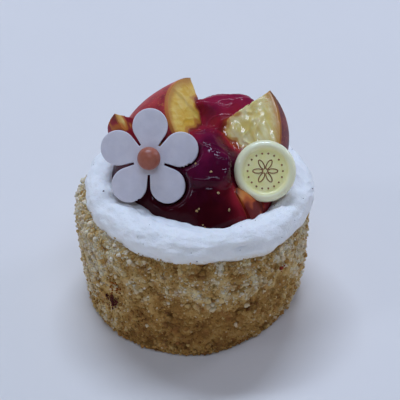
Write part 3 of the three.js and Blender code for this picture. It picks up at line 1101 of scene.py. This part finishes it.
@dataclass
class Wedge:
    """One wedge of nectarine: where it lies, how it is cut, and its finish."""

    node: str
    tip: Point
    axis: Point
    outward: Point
    radius: float
    half_length: float
    angle: float
    length: float
    finish: NectarineFinish
    squeeze: float = 1.0
    overcut: float = 0.0
    stain: float = 1.6
    glow: float = 0.62
    film: float = 0.1
    film_start: float = 3.0
    bare: Point = (0, 0, 0)
    bare_radius: float = 0.0
    vein: bool = False
    voxel: float = 0.25

    # The dark tip, the edge of the skin, the fibres and the vein
    tip_share: float = 0.6
    tip_reach: float = 0.45
    edge_width: float = 1.0
    fibre_across: float = 0.12
    fibre_turn: float = 14.0
    fibre_along: float = 0.9
    vein_slope: float = 0.69
    vein_start: float = 0.4
    vein_wave: Layers = ((0.5, 5, 0),)
    vein_share: float = 0.45
    vein_width: float = 1.1
    skin: Skin = field(init=False)
    tree: BVHTree = field(init=False)

    def matrix(self) -> Matrix:
        """Takes the upright whole fruit to where the wedge lies."""
        up = Vector(self.axis).normalized()
        side = up.cross(Vector(self.outward)).normalized()
        basis = Matrix((side.cross(up), side, up)).transposed().to_4x4()
        turn = Matrix.Rotation(LEAN_BACK, 4, "X")
        press = turn @ Matrix.Diagonal((1, 1, self.squeeze, 1)) @ turn.inverted()
        lower = Matrix.Translation(-self.half_length * up)
        return Matrix.Translation(self.tip) @ press @ lower @ basis

    def cut(self, fruit: Skin, place: Point, normal: Point) -> None:
        """Cuts away what lies past a plane and closes the cut."""
        made = bmesh.ops.bisect_plane(
            fruit, geom=[*fruit.verts, *fruit.edges, *fruit.faces], plane_co=place, plane_no=normal,
            clear_outer=True,
        )
        edges = [part for part in made["geom_cut"] if isinstance(part, bmesh.types.BMEdge)]
        bmesh.ops.edgeloop_fill(fruit, edges=edges)

    def shape(self) -> None:
        """Makes the skin of the wedge and what its finish reads from it."""
        fruit = bmesh.new()
        bmesh.ops.create_uvsphere(fruit, u_segments=96, v_segments=64, radius=1)
        bmesh.ops.scale(fruit, vec=(self.radius, self.radius, self.half_length), verts=fruit.verts)
        half = math.radians(self.angle / 2)
        for sign in (-1, 1):
            self.cut(fruit, (-self.overcut, 0, 0), (-math.sin(half), sign * math.cos(half), 0))
        if self.length < 2 * self.half_length:
            self.cut(fruit, (0, 0, self.half_length - self.length), (0, 0, -1))
        place = self.matrix()
        bmesh.ops.transform(fruit, matrix=place, verts=fruit.verts)
        self.skin = evened(fruit, self.voxel, 2)
        self.mark_flesh(place.inverted())
        self.tree = BVHTree.FromBMesh(self.skin)

    def rolling(self, point: Vector) -> float:
        """The height of the wet film on the flesh."""
        return self.film * (0.5 * swell(point, 2.6, 9) + crease(point, 4.2, 0.3, 2))

    def mark_flesh(self, back: Matrix) -> None:
        """Writes how deep each point lies, and raises the wet film.

        Args:
            back: takes a point to the upright whole fruit
        """
        layers = self.skin.verts.layers
        depth, vein, tip, edge = (layers.float.new(name) for name in ("depth", "vein", "tip", "edge"))
        fibre = layers.float_vector.new("fibre")
        wide, tall = self.radius, self.half_length
        self.skin.normal_update()
        for vert in self.skin.verts:
            local = back @ vert.co
            across = math.hypot(local.x, local.y)
            share = math.hypot(across / wide, local.z / tall)
            steep = math.hypot(across / wide**2, local.z / tall**2) / max(share, 1e-6)
            below = (1 - share) / max(steep, 1e-6)
            bow = math.atan2(local.y, local.x)
            arc = math.radians(self.angle / 2) * across
            vert[depth] = below
            vert[tip] = self.tip_share * bell((tall - abs(local.z)) / self.tip_reach)
            vert[edge] = smoothstep(abs(bow) * across, max(arc - self.edge_width, 0.0), arc)
            along, turn = local.z * self.fibre_along, bow * self.fibre_turn
            vert[fibre] = Vector((self.fibre_across * across, turn, along))
            if self.vein:
                off = local.z - self.vein_slope * across + self.vein_start
                off += swells(local, self.vein_wave)
                vert[vein] = self.vein_share * bell(off / self.vein_width) * smoothstep(across, 1, 4)
            vert.co += vert.normal * (self.rolling(vert.co) * smoothstep(below, 1.5, self.film_start))

    def dress(self, heap: BVHTree) -> None:
        """Makes the finished wedge.

        Args:
            heap: the glaze that the wedge stands in, and that has run over it
        """
        def sauce(point: Vector) -> float:
            """How much glaze has run over a point."""
            place, normal, _, away = heap.find_nearest(point)
            ragged = 1 + 0.5 * swell(point, 3, 7)
            below = (point - place).dot(normal) < 0
            wet = 1.0 if below else 1 - smoothstep(away * ragged, 0.1, self.stain)
            if self.bare_radius:
                out = (point - Vector(self.bare)).length * ragged / self.bare_radius
                wet = max(wet, smoothstep(out, 0.2, 1))
            return wet

        mark(self.skin, "sauce", sauce)
        mesh = to_mesh(self.skin, self.node.replace("nectarine_", ""))
        stand(mesh, self.finish.make(), Slot.NECTARINE, self.node)


@dataclass(frozen=True)
class Lump:
    """A piece of fruit under thick glaze: its middle, half sizes and the slope of its upper face."""

    node: str
    middle: Point
    half_sizes: Point
    slope: float
    turn: float
    squareness: float
    shift: float
    lip: float
    skew: float = 0.0
    unevenness: float = 0.06
    lip_place: float = 0.84
    lip_width: float = 0.09
    dish: float = 0.6

    def skin(self) -> Skin:
        """Makes its closed skin: a rounded block with a raised lip round its upper face."""
        block = bmesh.new()
        bmesh.ops.create_icosphere(block, subdivisions=6, radius=1)
        power = self.squareness
        for vert in block.verts:
            reach = sum(abs(value) ** power for value in vert.co) ** (1 / power)
            unit = vert.co / reach
            point = Vector((unit[i] * self.half_sizes[i] for i in range(3)))
            point *= 1 + self.unevenness * swell(point, 8, self.shift)
            border = (abs(unit.x) ** 4 + abs(unit.y) ** 4) ** 0.25
            rim = bell((border - self.lip_place) / self.lip_width) * smoothstep(unit.z, 0.4, 0.8)
            dish = (1 - smoothstep(border, 0.3, 0.8)) * smoothstep(unit.z, 0.5, 0.9)
            uneven = 0.75 + 0.5 * swell(point, 5, self.shift + 2)
            point.y -= self.skew * max(unit.y, 0) * (unit.x + 1) / 2
            point.z += self.lip * (rim * uneven - self.dish * dish)
            vert.co = point
        turn = Matrix.Rotation(math.radians(self.turn), 4, "Z")
        slope = Matrix.Rotation(math.radians(self.slope), 4, "X")
        matrix = Matrix.Translation(self.middle) @ turn @ slope
        bmesh.ops.transform(block, matrix=matrix, verts=block.verts)
        return block


@dataclass(frozen=True)
class Plate:
    """A flat decoration that soft toppings are pressed back behind.

    Its outline is made of circles, each with its middle in the plate's own plane and its radius.
    """

    centre: Point
    thickness: float
    circles: tuple[Point, ...]
    fade: float = 1.6
    gap: float = 0.1

    def press(self, point: Vector) -> Vector:
        """Presses a point back behind the plate."""
        offset = point - Vector(self.centre)
        ahead = offset.dot(FACING)
        up = offset.y * math.cos(LEAN_BACK) + offset.z * math.sin(LEAN_BACK)
        beside = min(math.hypot(offset.x - x, up - y) - radius for x, y, radius in self.circles)
        share = 1 - smoothstep(beside, 0, self.fade)
        return point - FACING * (share * max(ahead + self.thickness / 2 + self.gap, 0))


@dataclass(frozen=True)
class Valley:
    """A place where the glaze has sunk away from the fruit that it covers."""

    place: Point
    radius: float
    depth: float

    def sink(self, point: Vector) -> Vector:
        """Sinks a point."""
        away = (point - Vector(self.place)).length / self.radius
        return point - FACING * (self.depth * bell(away, 4))


@dataclass
class GlazedHeap:
    """The thick red glaze: a hill inside the cream, and two lumps of fruit under it."""

    lumps: tuple[Lump, ...]
    plates: tuple[Plate, ...]
    ring: CreamRing
    valleys: tuple[Valley, ...] = (
        Valley((13.4, 3.2, 58.2), 5.8, 3.4), Valley((1.4, 9.5, 61), 5.6, 3.8),
    )
    centre: Pair = (1, 2)
    radius: float = 28.0
    foot: float = 39.6
    pool: float = 45.2
    top: float = 60.5
    ledge_drop: float = 3.1
    ledge_slump: float = 0.14
    steepness: float = 2.2
    steeper_behind: float = 1.2
    roundness: float = 0.9
    rounder_behind: float = 0.15
    ridge: Pair = (-5, 17)
    ridge_rise: float = 4.0
    ridge_radius: float = 7.0
    sway: Layers = ((0.8, 9, 2),)
    slope_steps: int = 60
    rounds: int = 200
    voxel: float = 0.36
    softening: int = 5

    # The folds of the film on the glaze
    fold_start: Pair = (52, 58)
    fold_height: float = 0.22
    fold_distance: float = 4.5
    fold_width: float = 0.1
    fold_stretch: float = 2.2
    fold_wave: Layers = ((0.1, 2.5, 3),)

    # What its finish reads: the level, which sets the glaze's painted light and shade, and how thin it
    # is
    level_foot: float = 44.0
    level_rise: float = 25.0
    level_lean: float = 0.3
    # Painted shade far behind, where the lamp behind lights the glaze most
    far_shade_start: Pair = (15, 27)
    far_shade: float = 0.35
    thin_reach: float = 2.9
    thin_wave: Layers = ((0.35, 4, 6),)
    skin: Skin = field(init=False)
    tree: BVHTree = field(init=False)

    def rise(self, point: Vector) -> Vector:
        """Where a point of the even unit disc goes."""
        angle = math.atan2(point.y, point.x)
        share = math.hypot(point.x, point.y)
        across, deep = self.centre
        spot = Vector((across + self.radius * point.x, deep + self.radius * point.y, self.foot))
        if point.z <= 0:
            return spot
        ledge = nearness(angle, self.ring.ledge_angle, self.ring.ledge_spread) * share
        behind = smoothstep(math.sin(angle), -0.3, 0.6) * share
        steepness = self.steepness + self.steeper_behind * behind
        slope = min(share * (1 + self.ledge_slump * ledge), 1) ** steepness
        level = self.pool - self.ledge_drop * ledge
        roundness = self.roundness - self.rounder_behind * behind
        spot.z = level + (self.top - level) * (1 - slope) ** roundness
        away = math.hypot(spot.x - self.ridge[0], spot.y - self.ridge[1]) / self.ridge_radius
        spot.z += self.ridge_rise * bell(away)
        spot.z += swells(spot, self.sway) * (1 - ledge)
        return self.give(spot)

    def give(self, point: Vector) -> Vector:
        """Moves a point back behind the decorations and down in the valleys."""
        for valley in self.valleys:
            point = valley.sink(point)
        for plate in self.plates:
            point = plate.press(point)
        return point

    def shape(self) -> None:
        """Makes the skin of the heap."""
        steps = self.slope_steps
        slope = [Vector((1 - i / steps, 1)) for i in range(steps + 1)]
        hill = spun([Vector((0, 0)), Vector((0.5, 0)), Vector((1, 0)), *slope], self.rounds)
        for vert in hill.verts:
            vert.co = self.rise(vert.co)
        for lump in self.lumps:
            block = lump.skin()
            for vert in block.verts:
                vert.co = self.give(vert.co)
            holder = as_mesh(block, "lump")
            hill.from_mesh(holder)
            bpy.data.meshes.remove(holder)
        self.skin = evened(hill, self.voxel, self.softening)
        raised(self.skin, self.wrinkles)
        self.tree = BVHTree.FromBMesh(self.skin)

    def wrinkles(self, point: Vector) -> float:
        """The folds of the film on the glaze, on its upper parts."""
        stretched = Vector((point.x / self.fold_stretch, point.y, point.z))
        fold = self.fold_height * crease(stretched, self.fold_distance, self.fold_width, 1)
        return smoothstep(point.z, *self.fold_start) * (fold + swells(point, self.fold_wave))

    def level(self, point: Vector) -> float:
        """How high a point is, from about 0 to 1, and a little less far behind: it sets the glaze's
        painted light and shade.
        """
        far = self.far_shade * smoothstep(point.y, *self.far_shade_start)
        return (point.z + self.level_lean * point.y - self.level_foot) / self.level_rise - far

    def dress(self, wedges: Sequence[Wedge]) -> None:
        """Makes the finished heap.

        Args:
            wedges: the fruit in it, where the glaze is thin
        """
        def thin(point: Vector) -> float:
            """How thin the glaze is at a point."""
            ragged = (1 + swells(point, self.thin_wave)) / self.thin_reach
            return max(w.glow * math.exp(-w.tree.find_nearest(point)[3] * ragged) for w in wedges)

        mark(self.skin, "thin", thin)
        mark(self.skin, "level", self.level)
        nodes = ("fruit_glaze", *(lump.node for lump in self.lumps))
        stand(to_mesh(self.skin, "glazed_heap"), GlazeFinish().make(), Slot.GLAZE, *nodes)


@dataclass(frozen=True)
class Chip:
    """A bite out of the edge of a petal."""

    petal: int
    angle: float
    width: float
    depth: float


@dataclass
class ChocolateFlower:
    """The flower of white chocolate and the chocolate ball at its heart."""

    centre: Point = (-13.7, -8.1, 58.2)
    thickness: float = 2.0
    petals: int = 5
    petal_radius: float = 5.5
    petal_distance: float = 10.25
    petal_turn: float = 88.5
    petal_sweep: float = 126.0
    arc_steps: int = 72
    slit_start: float = 5.0
    slit_half_width: float = 0.35
    edge: float = 0.3
    ball_radius: float = 3.6
    ball_lift: float = 2.2
    chips: tuple[Chip, ...] = (
        Chip(4, -62, 5, 0.35), Chip(4, -74, 3.5, 0.28), Chip(4, -86, 3, 0.2),
        Chip(2, -58, 4, 0.3), Chip(2, -69, 3, 0.22),
    )
    flat_area: float = 20.0

    def circles(self) -> tuple[Point, ...]:
        """The round petals and the heart, each as its middle in the flower's plane and its radius."""
        turns = [math.radians(self.petal_turn) + i * math.tau / self.petals for i in range(self.petals)]
        far = self.petal_distance
        petals = [(far * math.cos(t), far * math.sin(t), self.petal_radius) for t in turns]
        return ((0, 0, self.slit_start + 2), *petals)

    def outline(self) -> list[Vector]:
        """The outline: round petals parted by narrow slits, with small chips."""
        points = []
        step = math.tau / self.petals
        sweep = math.radians(self.petal_sweep)
        spread = self.slit_half_width / self.slit_start
        for petal in range(self.petals):
            turn = math.radians(self.petal_turn) + petal * step
            heart = self.petal_distance * Vector((math.cos(turn), math.sin(turn)))
            chips = [chip for chip in self.chips if chip.petal == petal]
            for i in range(self.arc_steps + 1):
                angle = turn - sweep + 2 * sweep * i / self.arc_steps
                radius = self.petal_radius
                for chip in chips:
                    off = math.degrees(math.remainder(angle - math.radians(chip.angle), math.tau))
                    radius -= chip.depth * bell(off / chip.width, 4)
                points.append(heart + radius * Vector((math.cos(angle), math.sin(angle))))
            for side in (-spread, spread):
                slit = turn + step / 2 + side
                points.append(self.slit_start * Vector((math.cos(slit), math.sin(slit))))
        return points

    def plate(self) -> Skin:
        """The flat flower with softened edges."""
        skin = bmesh.new()
        face = skin.faces.new([skin.verts.new((p.x, p.y, -self.thickness / 2)) for p in self.outline()])
        made = bmesh.ops.extrude_face_region(skin, geom=[face])
        verts = [part for part in made["geom"] if isinstance(part, bmesh.types.BMVert)]
        bmesh.ops.translate(skin, vec=(0, 0, self.thickness), verts=verts)
        bmesh.ops.recalc_face_normals(skin, faces=skin.faces)
        rims = [e for e in skin.edges if abs(e.verts[0].co.z - e.verts[1].co.z) < 1e-6]
        bmesh.ops.bevel(
            skin, geom=rims, offset=self.edge, segments=4, profile=0.5, affect="EDGES", material=-1
        )
        lean_back(skin, self.centre)
        return skin

    def dress(self) -> None:
        """Makes the finished flower and ball."""
        white = ChocolateFinish("white_chocolate", "#d6d1d6", "#cfcad0", 0.36)
        mesh = to_mesh(self.plate(), "flower", self.flat_area)
        stand(mesh, white.make(), Slot.WHITE, "chocolate_flower")
        ball = bmesh.new()
        bmesh.ops.create_uvsphere(ball, u_segments=64, v_segments=40, radius=self.ball_radius)
        bmesh.ops.translate(ball, vec=(0, 0, self.thickness / 2 + self.ball_lift), verts=ball.verts)
        lean_back(ball, self.centre)
        caramel = ChocolateFinish("caramel_chocolate", "#a86049", "#9b543d", 0.38)
        stand(to_mesh(ball, "flower_heart"), caramel.make(), Slot.CARAMEL, "flower_centre")


@dataclass
class ChocolateDisc:
    """The round chocolate disc: a raised rim about a flat field with a plain ornament."""

    centre: Point = (22.4, -10.2, 55)
    radius: float = 9.7
    thickness: float = 3.5
    recess: float = 0.65
    dot_count: int = 18
    dot_ring: float = 5.5
    dot_radius: float = 0.3
    petal_count: int = 6
    petal_reach: float = 2.3
    petal_half_length: float = 1.75
    petal_half_width: float = 0.82
    line_width: float = 0.3
    line_height: float = 0.16
    rim_width: Pair = (3, 1.6)
    rounds: int = 160
    flat_area: float = 2.0

    def profile(self) -> list[Vector]:
        """The profile from the middle of the back over the rim to the middle of the field."""
        half, rim = self.thickness / 2, self.radius
        edge = smooth_line([
            (rim - 1, -half), (rim - 0.2, -half + 0.7), (rim, 0), (rim - 0.3, half - 0.8),
            (rim - 1, half - 0.15), (rim - 1.7, half), (rim - 2.5, half - 0.3),
            (rim - 2.9, half - self.recess),
        ], 8)
        field_height = half - self.recess
        return [Vector((0, -half)), Vector((rim - 3, -half)), *edge, Vector((rim - 3.4, field_height)),
                Vector((0, field_height))]

    def ornament(self) -> Skin:
        """A ring of small dots about a rosette of thin outlined petals."""
        lines = bmesh.new()
        base = self.thickness / 2 - self.recess
        for i in range(self.dot_count):
            spot = Matrix.Translation(around(math.tau * i / self.dot_count, self.dot_ring, base))
            size = Matrix.Diagonal((self.dot_radius, self.dot_radius, self.line_height, 1))
            bmesh.ops.create_uvsphere(lines, u_segments=16, v_segments=8, radius=1, matrix=spot @ size)
        for i in range(self.petal_count):
            turn = Matrix.Rotation(math.tau * i / self.petal_count, 4, "Z")
            spot = turn @ Matrix.Translation((self.petal_reach, 0, base + self.line_height / 2))
            stretch = Matrix.Diagonal((self.petal_half_length, self.petal_half_width, 1, 1))
            self.loop(lines, spot @ stretch)
        return lines

    def loop(self, lines: Skin, matrix: Matrix) -> None:
        """Adds a thin raised loop."""
        made = bmesh.ops.create_circle(lines, cap_ends=True, segments=36, radius=1, matrix=matrix)
        face = made["verts"][0].link_faces[0]
        band = bmesh.ops.inset_region(
            lines, faces=[face], thickness=self.line_width, use_even_offset=True, use_boundary=True
        )["faces"]
        bmesh.ops.delete(lines, geom=[face], context="FACES_ONLY")
        made = bmesh.ops.extrude_face_region(lines, geom=band)
        verts = [part for part in made["geom"] if isinstance(part, bmesh.types.BMVert)]
        bmesh.ops.translate(lines, vec=(0, 0, -self.line_height), verts=verts)

    def dress(self) -> None:
        """Makes the finished disc and its ornament."""
        tinted = ChocolateFinish(
            "tinted_chocolate", "#f4ecb0", "#f0e89c", 0.26, coat=0.3, rim="#eeeac2",
        )
        skin = spun(self.profile(), self.rounds)
        low, high = (self.radius - width for width in self.rim_width)
        mark(skin, "rim", lambda point: smoothstep(math.hypot(point.x, point.y), low, high))
        lean_back(skin, self.centre)
        stand(to_mesh(skin, "disc", self.flat_area), tinted.make(), Slot.TINTED, "chocolate_disc")
        lines = self.ornament()
        bmesh.ops.recalc_face_normals(lines, faces=lines.faces)
        lean_back(lines, self.centre)
        brown = ChocolateFinish("brown_chocolate_line", "#7a4a1e", "#8d5230", 0.4)
        stand(to_mesh(lines, "disc_ornament"), brown.make(), Slot.TINTED)


@dataclass(frozen=True)
class Lamp:
    """A soft lamp: where it hangs, its width and depth, its power in watts and its colour."""

    name: str
    place: Point
    size: Pair
    power: float
    colour: str


@dataclass
class Studio:
    """The camera of the photograph, a plain pale floor and soft light."""

    place: Point = (2.1, -288.6, 253.5)
    pitch: float = 37.0
    focal_pixels: float = 1095.0
    sensor: float = 36.0
    floor_radius: float = 1100.0
    floor_curve: float = 500.0
    floor_height: float = 650.0
    floor_steps: int = 12
    floor_rounds: int = 96
    floor_gap: float = 0.1
    floor_colours: tuple[str, str] = ("#e0dad4", "#e2dcd6")
    floor_patch: float = 60.0
    aim: Point = (0, 0, 40)
    lamps: tuple[Lamp, ...] = (
        Lamp("lamp_behind", (-180, 1000, 2280), (1560, 300), 46, "#cfe1ff"),
        Lamp("lamp_front", (180, -1100, 2300), (1560, 300), 14, "#cfe1ff"),
        Lamp("lamp_left", (-1500, -600, 1200), (260, 260), 3, "#dce8ff"),
        Lamp("lamp_right", (1500, 800, 880), (520, 300), 5, "#d3dcff"),
    )
    sky: tuple[tuple[float, str], ...] = ((0.05, "#a79d93"), (0.6, "#4f535c"))
    sky_strength: float = 0.7

    def camera(self) -> None:
        """Makes the camera."""
        data = bpy.data.cameras.new("camera")
        data.sensor_width = self.sensor
        data.lens = self.focal_pixels / IMAGE_WIDTH * self.sensor
        camera = placed("camera", data)
        camera.location = Vector(self.place) * MM
        camera.rotation_euler = (math.radians(90 - self.pitch), 0, 0)
        bpy.context.scene.camera = camera

    def ray(self, across: float, down: float) -> Vector:
        """The way from the camera through a pixel of the photograph."""
        away = Vector((across - IMAGE_WIDTH / 2, IMAGE_HEIGHT / 2 - down, -self.focal_pixels))
        return (Matrix.Rotation(math.radians(90 - self.pitch), 3, "X") @ away).normalized()

    def floor(self) -> None:
        """Makes the floor of painted board, which curves up far away all round."""
        far, curve, steps = self.floor_radius, self.floor_curve, self.floor_steps
        turns = [math.pi / 2 * i / steps for i in range(steps + 1)]
        bend = [Vector((far + curve * math.sin(t), curve * (1 - math.cos(t)))) for t in turns]
        line = [Vector((0, 0)), Vector((far / 3, 0)), *bend, Vector((far + curve, self.floor_height))]
        surface = Surface("pale_floor")
        colour = surface.mix(surface.mottle(self.floor_patch), *self.floor_colours)
        floor = placed("floor", to_mesh(spun(line, self.floor_rounds, shell=False), "floor"))
        floor.data.materials.append(surface.finish(Base_Color=colour, Roughness=0.85))
        floor.location.z = -self.floor_gap * MM

    def hang(self, lamp: Lamp) -> None:
        """Makes a lamp that points at the cake."""
        data = bpy.data.lights.new(lamp.name, "AREA")
        data.shape = "RECTANGLE"
        data.size, data.size_y = (length * MM for length in lamp.size)
        data.energy = lamp.power
        data.color = linear(lamp.colour)[:3]
        thing = placed(lamp.name, data)
        thing.location = Vector(lamp.place) * MM
        aim = Vector(self.aim) - Vector(lamp.place)
        thing.rotation_euler = aim.to_track_quat("-Z", "Y").to_euler()

    def light(self) -> None:
        """Makes the lamps and the sky, whose reflection stays off wet surfaces."""
        for lamp in self.lamps:
            self.hang(lamp)
        world = bpy.data.worlds.new("soft_sky")
        world.use_nodes = True
        tree = world.node_tree
        tree.nodes.clear()
        way = add(tree, "ShaderNodeTexCoord").outputs["Generated"]
        height = add(tree, "ShaderNodeSeparateXYZ", {"Vector": way}).outputs["Z"]
        wall = add(tree, "ShaderNodeValToRGB", {"Fac": height}, ramp=self.sky).outputs["Color"]
        sky = add(tree, "ShaderNodeBackground", {"Color": wall, "Strength": self.sky_strength})
        add(tree, "ShaderNodeOutputWorld", {"Surface": sky.outputs["Background"]})
        world.cycles_visibility.glossy = False
        bpy.context.scene.world = world
        bpy.context.scene.view_settings.view_transform = "Standard"

    def build(self) -> None:
        """Makes the whole studio."""
        self.camera()
        self.floor()
        self.light()


@dataclass
class StrayCrumbs:
    """Small crumbs that have dropped on the glaze and the cream, seen in the photograph."""

    pixels: tuple[Pair, ...] = (
        (197, 211), (218, 193), (229, 210), (241, 193), (203, 225), (196, 164), (211, 172), (199, 209),
        (205, 228),
    )
    size: float = 0.42
    size_range: Pair = (0.7, 1.3)
    rest: float = 0.4
    seed: int = 5

    def dress(self, studio: Studio, trees: Sequence[BVHTree]) -> None:
        """Drops the crumbs where the photograph shows them.

        Args:
            studio: the camera to look through
            trees: what they may lie on
        """
        rng = np.random.default_rng(self.seed)
        start = Vector(studio.place)
        places = []
        for across, down in self.pixels:
            hits = [tree.ray_cast(start, studio.ray(across, down)) for tree in trees]
            near = min((hit for hit in hits if hit[0] is not None), key=lambda hit: hit[3])
            places.append(near[0] + near[1] * (self.rest * self.size))
        sizes = self.size * rng.uniform(*self.size_range, len(places))
        mesh = crumb_mesh("stray_crumbs", np.array(places), sizes, rng)
        stand(mesh, SpongeFinish("stray_crumb", "#97794e", "#bda176").make(), Slot.CRUMB)


LEFT_FRUIT = NectarineFinish(
    "nectarine_left", skin="#bd3a3c", skin_dark="#7c1c28", flesh="#e8b63a", flesh_pale="#efca62",
    vein="#b5862e", stained="#cf8a3c", sauce="#94302c",
)
RIGHT_FRUIT = NectarineFinish(
    "nectarine_right", skin="#8c2c2e", skin_dark="#5c1820", flesh="#e6cf78", flesh_pale="#f2e6ae",
    stained="#cc9448", sauce="#a8482f", roughness=0.14, gloss=0.7, grain_depth=0.02,
)
SMALL_FRUIT = NectarineFinish("nectarine_small", skin="#b3283a", skin_dark="#801828", sauce="#96202e")
FRONT_FRUIT = NectarineFinish(
    "nectarine_front", skin="#c9803a", skin_dark="#b8662c", flesh="#d08a3c", flesh_pale="#d99a4a",
    rind="#c07434", stained="#a8481f", sauce="#6a1c18", roughness=0.2,
)

WEDGES = (
    Wedge(
        "nectarine_wedge_left", tip=(-2.1, 22.9, 68.9), axis=(-0.337, 0.622, 0.706),
        outward=(-0.748, -0.632, 0.2), radius=28.1, half_length=15.4, angle=58, length=27,
        squeeze=0.65, finish=LEFT_FRUIT, overcut=1.5, vein=True, stain=2.6,
    ),
    Wedge(
        "nectarine_wedge_right", tip=(24.9, 8.5, 72.1), axis=(0.768, -0.02, 0.641),
        outward=(0.549, -0.495, -0.673), radius=25.6, half_length=23.9, angle=40, length=34,
        finish=RIGHT_FRUIT, overcut=1.2, film=0.24, film_start=9, stain=2.0, glow=0.85,
    ),
    Wedge(
        "nectarine_wedge_far_left", tip=(-24.7, 2, 68.6), axis=(-0.548, -0.609, 0.574),
        outward=(-0.214, -0.561, -0.8), radius=12, half_length=18.3, angle=75, length=29,
        finish=SMALL_FRUIT, bare=(-23.4, 1.6, 67.4), bare_radius=5,
    ),
    Wedge(
        "nectarine_wedge_front", tip=(12.3, -15.6, 51.5), axis=(-0.038, 0.007, 0.999),
        outward=(0.998, 0.044, 0.038), radius=11.7, half_length=16, angle=110, length=7,
        finish=FRONT_FRUIT, stain=1.2, glow=0.8, bare=(13.4, -17, 50), bare_radius=7,
    ),
)

LUMPS = (
    Lump(
        "glazed_fruit_front", (5.1, -8.4, 55), (7.6, 8.8, 6.6), slope=29, turn=-6, squareness=3.6,
        shift=3, lip=0.7, skew=6.5,
    ),
    Lump(
        "glazed_fruit_back", (10, 14, 57.2), (12.5, 9.5, 6.8), slope=28, turn=4, squareness=2.6,
        shift=8, lip=0.3,
    ),
)


def main() -> None:
    """Builds the studio and the cheesecake."""
    logging.basicConfig(level=logging.INFO, format="%(name)s %(message)s")
    studio = Studio()
    studio.build()
    flower = ChocolateFlower()
    disc = ChocolateDisc()
    plates = (
        Plate(flower.centre, flower.thickness, flower.circles()),
        Plate(disc.centre, disc.thickness, ((0, 0, disc.radius),)),
    )
    cream = CreamRing()
    cream.shape()
    for wedge in WEDGES:
        wedge.shape()
    heap = GlazedHeap(LUMPS, plates, cream)
    heap.shape()
    cake = CrumbedCake()
    cake.shape()
    StrayCrumbs().dress(studio, [heap.tree, cream.tree])
    cake.dress(cream.tree, studio)
    for wedge in WEDGES:
        wedge.dress(heap.tree)
    heap.dress(WEDGES)
    cream.dress()
    flower.dress()
    disc.dress()


if __name__ == "__main__":
    main()
